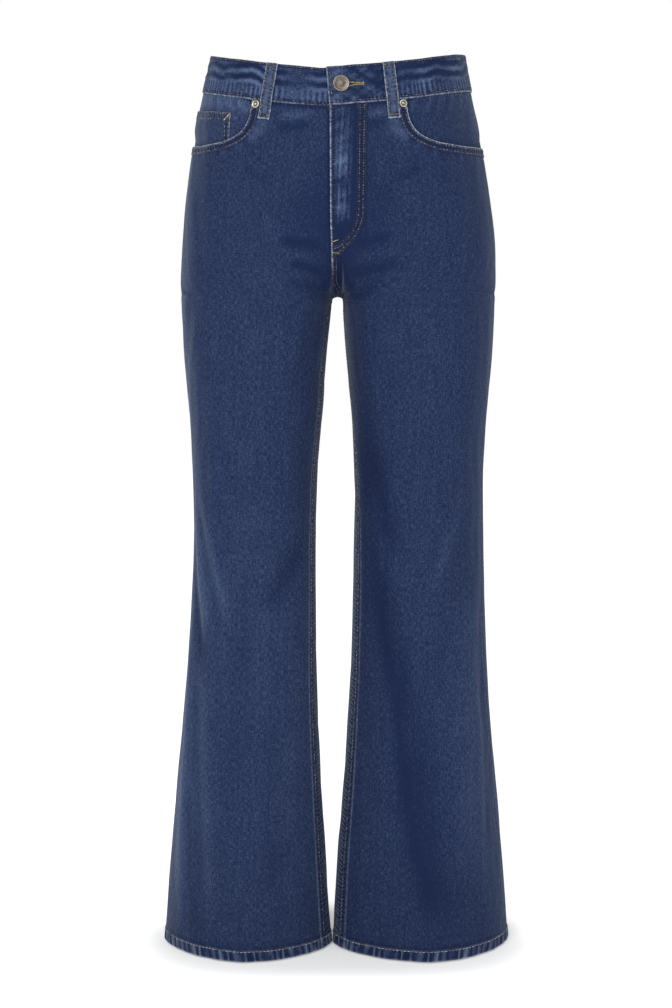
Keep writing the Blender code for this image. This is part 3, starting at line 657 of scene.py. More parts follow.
@dataclass(frozen=True)
class DenimFinish:
    """Woven indigo denim: dark warp, pale weft, slubs both ways, and wear on its high edges.

    It reads the piece's own "cloth" map, in metres with the warp along its second axis, and
    the attributes under (1 on the wrong side), worn (pale wear), tone (lighter or darker, in part
    painted light and shade) and seam (run and distance from a seam in millimetres, and how
    strongly it puckers).
    """

    name: str = "denim"
    warp: Colour = (0.0086, 0.0162, 0.0525, 1.0)
    weft: Colour = (0.118, 0.172, 0.304, 1.0)
    wear: Colour = (0.34, 0.4, 0.5, 1.0)
    wrong_side: Colour = (0.26, 0.31, 0.42, 1.0)
    weft_share: float = 0.17
    twill_pitch: float = 0.00095
    pucker_period: float = 4.2

    def build(self) -> Material:
        """Builds the material."""
        board = Board(self.name)
        cloth = board.node("ShaderNodeUVMap", {"uv_map": "cloth"})
        tone, worn = board.attribute("tone"), board.attribute("worn")
        under = board.attribute("under")

        # Slubs: noise stretched along the warp and along the weft, and patches of uneven dye.
        warp_slub = board.noise(board.scaled(cloth, 1.0, 0.22), 800.0, 2.0, 0.6)
        weft_slub = board.noise(board.scaled(cloth, 0.28, 1.0), 860.0, 2.0, 0.6)
        grain = board.noise(cloth, 1300.0, 1.0)
        patches = board.noise(board.scaled(cloth, 1.0, 0.6), 42.0, 3.0, 0.6)
        streaks = board.noise(board.scaled(cloth, 1.0, 0.05), 300.0, 2.0, 0.6)
        share = (
            self.weft_share
            + (warp_slub - 0.5) * 0.62
            + (weft_slub - 0.5) * 0.52
            + (grain - 0.5) * 0.2
            + (patches - 0.5) * 0.1
            + (streaks - 0.5) * 0.16
            + tone * 0.065
        )

        # Twill: sloping ridges, a sine of the sum of both axes.
        u, v, _ = board.parts(cloth)
        pitch = 2 * math.pi / self.twill_pitch
        twill = (u * pitch + v * (pitch * 0.55)).sine()
        share = share + twill * 0.03

        # Puckers: short bars across a seam, uneven in pitch and faded away from it.
        seam = board.attribute("seam", "Vector")
        run, away, pull = board.parts(seam)
        uneven = board.noise(board.scaled(seam, 0.16, 0.02, 0.0), 1.0, 1.0)
        bars = (run * (2 * math.pi / self.pucker_period) + away * 0.35 + uneven * 9.0).sine() * pull
        share = share + bars * 0.13 - pull * 0.05

        patchy = board.noise(cloth, 260.0, 2.0, 0.6).step(0.3, 0.72)
        wear = (worn * (patchy * 0.75 + 0.35) + bars.above(0.0) * 0.14).step(0.0, 1.0)
        body = board.blend(share.step(0.0, 1.0), self.warp, self.weft)
        face = board.blend(wear, body, self.wear)
        wrong = board.blend(share.step(-0.1, 0.5), self.wrong_side, self.weft)
        colour = board.blend(under, face, wrong)

        height = twill * 0.06 + warp_slub * 0.45 + weft_slub * 0.36 + grain * 0.2 + bars * 0.8
        board.feed(board.shader.inputs["Specular IOR Level"], 0.06)
        return board.finish(
            base_color=colour,
            roughness=0.86 + (warp_slub - 0.5) * 0.12,
            normal=board.bump(height, 0.0008),
            sheen_weight=0.27,
            sheen_roughness=0.28,
            sheen_tint=(0.7, 0.82, 1.0, 1.0),
        )


@dataclass(frozen=True)
class ThreadFinish:
    """Spun topstitching thread: each stitch has its own tone, and the twist shows as ridges."""

    name: str
    dark: Colour
    light: Colour

    def build(self) -> Material:
        """Builds the material."""
        board = Board(self.name)
        tone = board.attribute("tone")
        place = board.node("ShaderNodeTexCoord", output="Object")
        fibre = board.noise(place, 2600.0, 2.0)
        colour = board.blend((tone + (fibre - 0.5) * 0.5).step(0.0, 1.0), self.dark, self.light)
        board.feed(board.shader.inputs["Specular IOR Level"], 0.3)
        return board.finish(
            base_color=colour,
            roughness=0.62 + (fibre - 0.5) * 0.2,
            normal=board.bump(fibre, 0.0002),
        )


@dataclass(frozen=True)
class MetalFinish:
    """Aged plated metal: dull in its hollows, rubbed bright on its rims."""

    name: str
    hollow: Colour
    rim: Colour
    roughness: float = 0.36

    def build(self) -> Material:
        """Builds the material. The attribute worn is 1 where the metal is rubbed bright."""
        board = Board(self.name)
        worn = board.attribute("worn")
        place = board.node("ShaderNodeTexCoord", output="Object")
        stain = board.noise(place, 420.0, 3.0, 0.6)
        pits = board.noise(place, 1900.0, 2.0)
        share = (worn + (stain - 0.5) * 0.5).step(0.0, 1.0)
        return board.finish(
            base_color=board.blend(share, self.hollow, self.rim),
            metallic=1.0,
            roughness=self.roughness + (stain - 0.5) * 0.25,
            normal=board.bump(pits, 0.00008),
        )


@dataclass(frozen=True)
class TapeFinish:
    """Woven zip tape: fine ribs along it."""

    name: str = "zip_tape"
    dark: Colour = (0.012, 0.017, 0.04, 1.0)
    light: Colour = (0.04, 0.052, 0.095, 1.0)

    def build(self) -> Material:
        """Builds the material."""
        board = Board(self.name)
        cloth = board.node("ShaderNodeUVMap", {"uv_map": "cloth"})
        ribs = (board.parts(cloth)[0] * (2 * math.pi / 0.0011)).sine()
        fibre = board.noise(cloth, 1500.0, 2.0)
        share = (ribs * 0.2 + fibre).step(0.1, 1.0)
        return board.finish(
            base_color=board.blend(share, self.dark, self.light),
            roughness=0.8 + (fibre - 0.5) * 0.2,
            normal=board.bump(ribs * 0.3 + fibre * 0.4, 0.0003),
        )


@dataclass(frozen=True)
class FloorFinish:
    """A pale matt studio floor, lit from within, with a painted shadow under the object: a soft pool
    where the glow is dimmed.

    The painted shadow fades where (x / reach)^4 + (y / reach)^2 nears 1.
    """

    name: str = "studio_floor"
    pale: Colour = (0.82, 0.82, 0.82, 1.0)
    paler: Colour = (0.84, 0.84, 0.84, 1.0)
    glow: float = 0.69
    # The glow's colour in the painted shadow.
    shade: Colour = (0.4, 0.4, 0.4, 1.0)
    white: Colour = (1.0, 1.0, 1.0, 1.0)
    reach: Pair = (0.262, 0.15)

    def build(self) -> Material:
        """Builds the material."""
        board = Board(self.name)
        place = board.node("ShaderNodeTexCoord", output="Object")
        cloud = board.noise(place, 2.0, 2.0)
        x, y, _ = board.parts(place)
        x, y = x * (1 / self.reach[0]), y * (1 / self.reach[1])
        # away is 0 in the painted shadow under the object and 1 beyond it.
        away = (x * x * x * x + y * y).step(0.3, 1.0)
        board.feed(board.shader.inputs["Emission Strength"], self.glow)
        return board.finish(
            base_color=board.blend(cloud, self.pale, self.paler),
            emission_color=board.blend(away, self.shade, self.white),
            roughness=0.7,
        )


class Finishes:
    """Every material of the garment, built once."""

    def __init__(self) -> None:
        """Builds them all: each thread and metal by its dark colour and its light one."""
        self.denim, self.tape = DenimFinish().build(), TapeFinish().build()
        threads = (
            ("bronze", (0.028, 0.025, 0.025), (0.3, 0.245, 0.17)),
            ("pale", (0.11, 0.11, 0.11), (0.5, 0.48, 0.44)),
            ("gold", (0.13, 0.1, 0.035), (0.52, 0.4, 0.17)),
        )
        self.thread, self.pale_thread, self.gold_thread = (
            ThreadFinish("thread_" + name, (*dark, 1.0), (*light, 1.0)).build()
            for name, dark, light in threads
        )
        metals = (
            ("antique", (0.047, 0.039, 0.031), (0.182, 0.16, 0.14), 0.36),
            ("rivet", (0.075, 0.06, 0.045), (0.48, 0.44, 0.36), 0.36),
            ("zip", (0.2, 0.15, 0.07), (0.55, 0.44, 0.24), 0.42),
        )
        self.nickel, self.rivet, self.teeth = (
            MetalFinish("metal_" + name, (*hollow, 1.0), (*rim, 1.0), roughness).build()
            for name, hollow, rim, roughness in metals
        )

# ---- Meshes ----


def shown(name: str, data: Any) -> Piece:
    """A new object with that data, in the scene."""
    obj = bpy.data.objects.new(name, data)
    bpy.context.scene.collection.objects.link(obj)
    return obj

def tube_faces(rings: Array) -> Array:
    """The faces between closed rings of vertex numbers, one ring in each row."""
    ahead = np.roll(rings, -1, axis=1)
    return np.stack([rings[:-1], ahead[:-1], ahead[1:], rings[1:]], axis=-1).reshape(-1, 4)

def signed_volume(points: Array, faces: list[Array]) -> float:
    """A closed mesh's volume: a sixth of the sum of its corners' triple products."""
    total = 0.0
    for group in faces:
        for corner in range(1, group.shape[1] - 1):
            a, b, c = (points[group[:, i]] for i in (0, corner, corner + 1))
            total += float(np.einsum("ij,ij->i", a, np.cross(b, c)).sum())
    return total / 6


def filled_mesh(
    name: str,
    points: Array,
    faces: list[Array],
    values: dict[str, Array] | None = None,
    cloth_map: Array | None = None,
    sharp_angle: float = 70.0,
) -> Piece:
    """A smooth-shaded mesh object from arrays, facing out.

    Args:
        name: Its name.
        points: Vertices in metres.
        faces: Arrays of faces, each of one number of corners.
        values: Attributes by name, a number or a vector for each vertex.
        cloth_map: The cloth's own map, in metres.
        sharp_angle: Edges sharper than this, in degrees, stay crisp.

    Returns:
        The object, in the scene.
    """
    if signed_volume(points - points.mean(axis=0), faces) < 0:
        faces = [group[:, ::-1] for group in faces]
    mesh = bpy.data.meshes.new(name)
    corners = np.concatenate([group.ravel() for group in faces]).astype(np.int32)
    sizes = np.concatenate([np.full(len(group), group.shape[1]) for group in faces])
    starts = np.concatenate([[0], np.cumsum(sizes)[:-1]]).astype(np.int32)
    mesh.vertices.add(len(points))
    mesh.vertices.foreach_set("co", points.astype(np.float32).ravel())
    mesh.loops.add(len(corners))
    mesh.loops.foreach_set("vertex_index", corners)
    mesh.polygons.add(len(sizes))
    mesh.polygons.foreach_set("loop_start", starts)
    mesh.update(calc_edges=True)
    for key, value in (values or {}).items():
        kind, word = ("FLOAT", "value") if value.ndim == 1 else ("FLOAT_VECTOR", "vector")
        layer = mesh.attributes.new(key, kind, "POINT")
        layer.data.foreach_set(word, value.astype(np.float32).ravel())
    if cloth_map is not None:
        layer = mesh.uv_layers.new(name="cloth")
        layer.data.foreach_set("uv", cloth_map[corners].astype(np.float32).ravel())
    mesh.shade_smooth()
    mesh.set_sharp_from_angle(angle=math.radians(sharp_angle))
    return shown(name, mesh)


@dataclass
class ClothPatch:
    """A cut piece of cloth on the form: a grid of places with a face either side of the wall.

    lift_out and lift_in are the two faces' heights above the form. across and along are the
    cloth's own coordinates in millimetres, along being the warp. run_on joins the last column
    to the first.
    """

    name: str
    half: Any
    s: Array
    level: Array
    lift_out: Any
    lift_in: Any
    across: Array
    along: Array
    worn: Any = 0.0
    tone: Any = 0.0
    seam: Array | None = None
    run_on: bool = False
    rim_bulge: float = 0.45
    under: float = 1.0

    def rim(self, index: Array) -> list[Array]:
        """The grid's borders, as loops of vertex numbers."""
        if self.run_on:
            return [np.append(index[0], index[0, 0]), np.append(index[-1], index[-1, 0])[::-1]]
        loop = [index[0], index[1:, -1], index[-1, -2::-1], index[-2::-1, 0]]
        return [np.concatenate(loop)]

    def outward(self, points: Array) -> Array:
        """For each border place, the unit direction that leads off the cloth."""
        away = np.zeros_like(points)
        away[0] += unit(points[0] - points[1])
        away[-1] += unit(points[-1] - points[-2])
        if not self.run_on:
            away[:, 0] += unit(points[:, 0] - points[:, 1])
            away[:, -1] += unit(points[:, -1] - points[:, -2])
        return unit(away)

    def build(self, form: Form, material: Material) -> Piece:
        """The closed shell: outer face, inner face, and a rounded rim through a middle line."""
        shape = np.broadcast(self.s, self.level).shape
        half, s, level = np.broadcast_arrays(self.half, self.s, self.level)
        outer = form.place(half, s, level, np.broadcast_to(self.lift_out, shape))
        inner = form.place(half, s, level, np.broadcast_to(self.lift_in, shape))
        count = outer.shape[0] * outer.shape[1]
        index = np.arange(count).reshape(shape)
        wide = np.concatenate([index, index[:, :1]], axis=1) if self.run_on else index
        face = np.stack([wide[:-1, :-1], wide[1:, :-1], wide[1:, 1:], wide[:-1, 1:]], axis=-1)
        face = face.reshape(-1, 4)
        faces = [face, face[:, ::-1] + count]

        thickness = np.linalg.norm(outer - inner, axis=-1, keepdims=True)
        bulge = np.minimum(thickness * 0.5, self.rim_bulge * MM)
        middle = ((outer + inner) / 2 + self.outward(outer) * bulge).reshape(-1, 3)
        flat_outer, flat_inner = outer.reshape(-1, 3), inner.reshape(-1, 3)
        points, source = [flat_outer, flat_inner], [np.arange(count)] * 2
        side = [np.zeros(count), np.full(count, self.under)]
        for loop in self.rim(index):
            ring = loop[:-1]
            start = sum(len(part) for part in points)
            points.append(middle[ring])
            source.append(ring)
            side.append(np.full(len(ring), 0.15 * self.under))
            mid = start + np.append(np.arange(len(ring)), 0)
            a, b, m, n = loop[:-1], loop[1:], mid[:-1], mid[1:]
            faces.append(np.stack([a, b, n, m], axis=-1))
            faces.append(np.stack([m, n, b + count, a + count], axis=-1))

        picked = np.concatenate(source)
        seam = np.zeros(shape + (3,)) if self.seam is None else self.seam
        values = {
            "under": np.concatenate(side),
            "worn": np.broadcast_to(np.clip(self.worn, 0, 1), shape).ravel()[picked],
            "tone": np.broadcast_to(self.tone, shape).ravel()[picked],
            "seam": seam.reshape(-1, 3)[picked],
        }
        values["worn"][count : 2 * count] = 0.0
        cloth_map = np.stack(
            [np.broadcast_to(self.across, shape), np.broadcast_to(self.along, shape)], axis=-1
        )
        # Each piece is cut from a place of its own on the roll.
        cloth_map = (cloth_map.reshape(-1, 2)[picked] + sum(self.name.encode()) * 7.3) * MM
        obj = filled_mesh(self.name, np.concatenate(points), faces, values, cloth_map)
        obj.data.materials.append(material)
        return obj


def adopt(piece: Piece, slot: Slot, *nodes: str) -> Piece:
    """Ties a finished piece to the model: it rides the body and stands for the named solids."""
    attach(piece, "root")
    if nodes:
        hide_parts(*nodes)
    LOG.info("%s: %d faces", piece.name, len(piece.data.polygons))
    return piece


@dataclass
class Thread:
    """Rows of stitches gathered into one mesh. Each stitch is a six-sided capsule whose ends dip
    into the cloth, so that it shows as a short rounded bar."""

    form: Form
    stitch: float = 3.0
    gap: float = 1.1
    radius: float = 0.36
    seed: int = 1
    tones: Pair = (0.15, 0.85)
    centres: list[Array] = field(default_factory=list)
    axes: list[Array] = field(default_factory=list)
    sizes: list[Array] = field(default_factory=list)

    STATIONS = np.array([[-1.0, -1.2, 0.35], [-0.7, -0.1, 0.9], [0.7, -0.1, 0.9], [1.0, -1.2, 0.35]])
    SIDES = 6

    def path(self, half: Any, s: Any, level: Any, lift: Any, over: float) -> list[Array]:
        """A path's points at over above the cloth, its ways up, and the lengths along it."""
        half, s, level, lift = np.broadcast_arrays(half, s, level, lift)
        low, points, high = (self.form.place(half, s, level, lift + up) for up in (0.0, over, 1.0))
        return [points, high - low, run_along(points)]

    def row(self, half: Any, s: Any, level: Any, lift: Any, stitch: float | None = None) -> None:
        """Adds stitches end to end along a path.

        Args:
            half: The half, or one for each point.
            s: The path's s.
            level: Its levels.
            lift: The cloth's height there.
            stitch: Each stitch's length, where it isn't the usual one.
        """
        length = stitch or self.stitch
        points, ups, run = self.path(half, s, level, lift, self.radius * 0.5)
        count = int(run[-1] // ((length + self.gap) * MM))
        if count < 1:
            return
        middle, reach = (np.arange(count) + 0.5) * run[-1] / count, length * MM / 2
        ends = read_path(points, run, middle + reach) - read_path(points, run, middle - reach)
        centre, up = read_path(points, run, middle), read_path(ups, run, middle)
        self.add(centre, ends, up, np.full(count, length))

    def bar(self, half: Half, ends: tuple, lift: float, width: float, spacing: float = 0.55) -> None:
        """Adds a bar tack: threads side by side across the line between two ends.

        Args:
            half: The half.
            ends: The line's ends, each as (s, level).
            lift: The cloth's height there.
            width: The threads' length.
            spacing: Their distance apart.
        """
        (s0, level0), (s1, level1) = ends
        share = np.linspace(0, 1, 40)
        s, level = s0 + (s1 - s0) * share, level0 + (level1 - level0) * share
        line, ups, run = self.path(half, s, level, lift, self.radius)
        at = np.linspace(0, run[-1], max(int(run[-1] / (spacing * MM)), 2))
        centre, up = read_path(line, run, at), read_path(ups, run, at)
        along = np.gradient(centre, axis=0)
        across = np.cross(up, along) + along * 0.22 * np.linalg.norm(up, axis=1, keepdims=True)
        self.add(centre, across, up, np.full(len(at), width))

    def add(self, centre: Array, along: Array, normal: Array, length: Array) -> None:
        """Keeps stitches by their middles, directions, upward directions and lengths."""
        along = unit(along)
        across = unit(np.cross(normal, along))
        up = np.cross(along, across)
        self.centres.append(centre)
        self.axes.append(np.stack([along, across, up], axis=1))
        self.sizes.append(length)

    def build(self, name: str, material: Material) -> Piece:
        """The stitches as one mesh: each capsule's rings are circles of the station's radius, set at
        the station's share of the length and dipped by its drop."""
        centre, axes = np.concatenate(self.centres), np.concatenate(self.axes)
        length = np.concatenate(self.sizes)
        count, rings, sides = len(centre), len(self.STATIONS), self.SIDES
        turn = np.arange(sides) * 2 * math.pi / sides
        reach, drop, girth = self.STATIONS.T
        local = np.zeros((count, rings, sides, 3))
        local[..., 0] = (length[:, None] / 2 * reach)[:, :, None]
        local[..., 1] = (self.radius * girth)[None, :, None] * np.cos(turn)
        local[..., 2] = self.radius * (drop[None, :, None] + girth[None, :, None] * np.sin(turn))
        points = centre[:, None, None, :] + np.einsum("nrsk,nkj->nrsj", local * MM, axes)
        quads = tube_faces(np.arange(rings * sides).reshape(rings, sides))
        fan = np.array([[0, i + 1, i] for i in range(1, sides - 1)])
        caps = np.concatenate([fan, fan[:, ::-1] + (rings - 1) * sides])
        base = (np.arange(count) * rings * sides)[:, None, None]
        faces = [(base + quads).reshape(-1, 4), (base + caps).reshape(-1, 3)]
        tone = np.random.default_rng(self.seed).uniform(*self.tones, count)
        values = {"tone": np.repeat(tone, rings * sides)}
        obj = filled_mesh(name, points.reshape(-1, 3), faces, values)
        obj.data.materials.append(material)
        return obj


# ---- Cloth pieces ----


def strongest(*seams: tuple[Any, Any, Any]) -> Array:
    """For each place, the seam that pulls hardest there, of seams as (run, distance, pull)."""
    grids = np.broadcast_arrays(*[part for seam in seams for part in seam])
    run, away, pull = (np.stack(grids[i::3], axis=-1) for i in range(3))
    best = pull.argmax(axis=-1)[..., None]
    picked = [np.take_along_axis(part, best, axis=-1)[..., 0] for part in (run, away, pull)]
    return np.stack(picked, axis=-1)


def spread(count: int, gathered: float = 0.0) -> Array:
    """Shares from 0 to 1, drawn towards both ends by a cosine where gathered is above 0."""
    share = np.linspace(0, 1, count)
    return share + (0.5 - 0.5 * np.cos(math.pi * share) - share) * gathered


def nearest(path_x: Array, path_y: Array, x: Array, y: Array) -> tuple[Array, Array]:
    """Each place's distance from a path, and the length along it of the path's nearest point."""
    run = run_along(np.stack([path_x, path_y], axis=1))
    gap = np.hypot(x[..., None] - path_x, y[..., None] - path_y)
    best = gap.argmin(axis=-1)
    return np.take_along_axis(gap, best[..., None], axis=-1)[..., 0], run[best]


INSEAM_SHIFT = {
    Half.RIGHT: (
        (284, 308, 350, 400, 450, 500, 560, 600, 720, 830, 960, 1058),
        (0, -26, -20, -11, -5, -1, 2, 3.4, 4.4, 5.8, 8.0, 9.5),
    ),
    Half.LEFT: (
        (284, 330, 470, 600, 720, 830, 960, 1058),
        (0, 4.4, 4.4, 3.4, 4.4, 6.4, 8.4, 10.0),
    ),
}


def inseam_place(form: Form, half: Half, level: Any) -> Array:
    """s of the inseam, which runs a little before or behind the form's own line at s = 0."""
    shift = np.interp(level, *INSEAM_SHIFT[half])
    ahead = form.s_per_mm(half, 0.0, level)
    return -shift * np.where(shift < 0, ahead, form.s_per_mm(half, 0.75, level))


@dataclass
class Garment:
    """What every sub-assembly shares: the form and the materials."""

    form: Form
    finishes: Finishes

    def sheet(self, patch: ClothPatch, slot: Slot = Slot.DENIM, **cut: Any) -> None:
        """Builds a cloth patch that stands for the solid of its name."""
        adopt(patch.build(self.form, self.finishes.denim), slot, patch.name)

    def sewn(self, thread: Thread, name: str, material: Material | None = None) -> None:
        """Builds rows of stitches as a piece, in the bronze thread unless told otherwise."""
        adopt(thread.build(name, material or self.finishes.thread), Slot.DENIM)

    def part_run(self, half: Half, level: Any, back: bool = False) -> Array:
        """The length round a half's front or back part, at each level."""
        runs = self.form.back_run if back else self.form.front_run
        return np.interp(level, self.form.levels, runs[half])


@dataclass
class HemShape:
    """How a turned-up hem shows on the leg's face: a swollen band with upright ropes."""

    height: float = 12.5
    swell: float = 0.8
    rope_pitch: float = 9.6
    rope_height: float = 0.25

    def rope(self, across: Array, level: Array) -> Array:
        """Upright swells along the band: a sine of the place along it, with a drifting phase."""
        depth = level - (OUTSEAM - self.height)
        wave = np.sin(2 * math.pi * across / 27.0 + 1.6 * wander(across, 53, 0.7))
        return wave * ramp(0.3, 2.2, depth)

    def seam(self, across: Array, level: Array) -> tuple[Array, Array, Array]:
        """The band's puckers, as a seam's run, distance and pull: wider apart than a seam's."""
        depth = level - (OUTSEAM - self.height)
        run = (across + 3.4 * wander(across, 31, 0.5)) * DenimFinish.pucker_period / self.rope_pitch
        strength = 1.1 + 0.9 * wander(across, 37, 1.3)
        return run, depth * 0.35, strength * ramp(0.2, 1.6, depth)

    def lift(self, across: Array, level: Array) -> Array:
        """The band's extra height over the leg."""
        depth = level - (OUTSEAM - self.height)
        band = ramp(-1, 1.2, depth) * self.swell - 0.35 * bell(depth, 1.3)
        return band + self.rope_height * self.rope(across, level)

    def worn(self, across: Array, level: Array) -> Array:
        """Pale wear: on the ropes' crests, and along the folded edge."""
        foot = bell(OUTSEAM - level, 1.3) * 0.35
        crest = np.clip(self.rope(across, level), 0, 1) ** 2
        top = bell(level - (OUTSEAM - self.height) - 0.2, 0.9) * 0.4
        return (foot + 0.08 * crest + top) * ramp(OUTSEAM - 15, OUTSEAM - 12, level)

    def tone(self, across: Array, level: Array) -> Array:
        """Pale crests and dark valleys on the ropes, partly wash fade and partly painted light and shade,
        and a dark line above the band.
        """
        depth = level - (OUTSEAM - self.height)
        band = ramp(0.3, 2.2, depth)
        return 0.9 * self.rope(across, level) + 0.7 * band - 1.6 * bell(depth + 1.6, 1.6)


@dataclass
class PocketMouth:
    """A front pocket's curved mouth: a quarter of a superellipse from the waistband, at
    start_s, to the side seam, at the level foot."""

    garment: Garment
    half: Half
    start_s: float
    foot: float
    power: float = 3.4
    turned_width: float = 9.5
    rows: Pair = (2.4, 8.2)

    @property
    def scale(self) -> float:
        """Millimetres of cloth for a whole half of s, round the pocket."""
        return float(2 * self.garment.part_run(self.half, 85.0))

    def curve(self, count: int, offset: float = 0.0) -> tuple[Array, Array]:
        """The mouth at even steps along the cloth, moved into the panel by offset.

        x is 0.5 less a power of a cosine and the level a power of a sine.
        """
        turn = np.linspace(0, math.pi / 2, 600)
        bend = 2 / self.power
        x = (0.5 - (0.5 - self.start_s) * np.cos(turn).clip(0) ** bend) * self.scale
        y = BAND + (self.foot - BAND) * np.sin(turn) ** bend
        path = np.stack([x, y], axis=1)
        run = run_along(path)
        x, y = read_path(path, run, np.linspace(0, run[-1], count)).T
        slope_x, slope_y = np.gradient(x), np.gradient(y)
        slope = np.hypot(slope_x, slope_y)
        x, y = x - slope_y / slope * offset, y + slope_x / slope * offset
        keep = y > BAND + 0.5 if offset else np.full(count, True)
        return x[keep] / self.scale, y[keep]

    def near(self, s: Array, level: Array) -> tuple[Array, Array]:
        """Each place's distance from the mouth, and the length along the mouth there."""
        path_s, path_level = self.curve(260)
        x, y = np.broadcast_arrays(s * self.scale, level)
        return nearest(path_s * self.scale, path_level, x, y)

    def is_open(self, s: Array, level: Array) -> Array:
        """Whether a place shows in the mouth, by the superellipse's own formula."""
        x = np.clip((0.5 - s) / (0.5 - self.start_s), 0, None)
        y = np.clip((level - BAND) / (self.foot - BAND), 0, None)
        return x**self.power + y**self.power < 1


@dataclass
class FlyCurve:
    """The J-shaped topstitching of the fly: straight down, then an ellipse's quarter."""

    reach: float = 28.0
    edge: float = -8.0
    straight_foot: float = 187.0
    foot: float = 238.5

    def path(self, inset: float) -> tuple[Array, Array]:
        """The line as distances from the middle and levels, moved inwards by inset."""
        turn = np.linspace(0, math.pi / 2, 60)
        wide = self.reach - self.edge - inset
        x = np.concatenate([np.full(60, self.edge + wide), self.edge + wide * np.cos(turn)])
        deep = self.foot - self.straight_foot - inset
        curve = self.straight_foot + deep * np.sin(turn)
        return x, np.concatenate([np.linspace(BAND + 1.5, self.straight_foot, 60), curve])


def leg_rows(top: float) -> Array:
    """Levels from top down to the hem, closer together at the crotch and in the hem."""
    spans = (
        np.arange(top, 276.0, 2.4), np.arange(276.0, 291.0, 0.75), np.arange(291.5, 312.0, 2.0),
        np.arange(313.0, OUTSEAM - 16, 4.4), np.arange(OUTSEAM - 15, OUTSEAM - 1, 1.1),
        [OUTSEAM - 0.7, OUTSEAM],
    )
    return np.concatenate(spans)

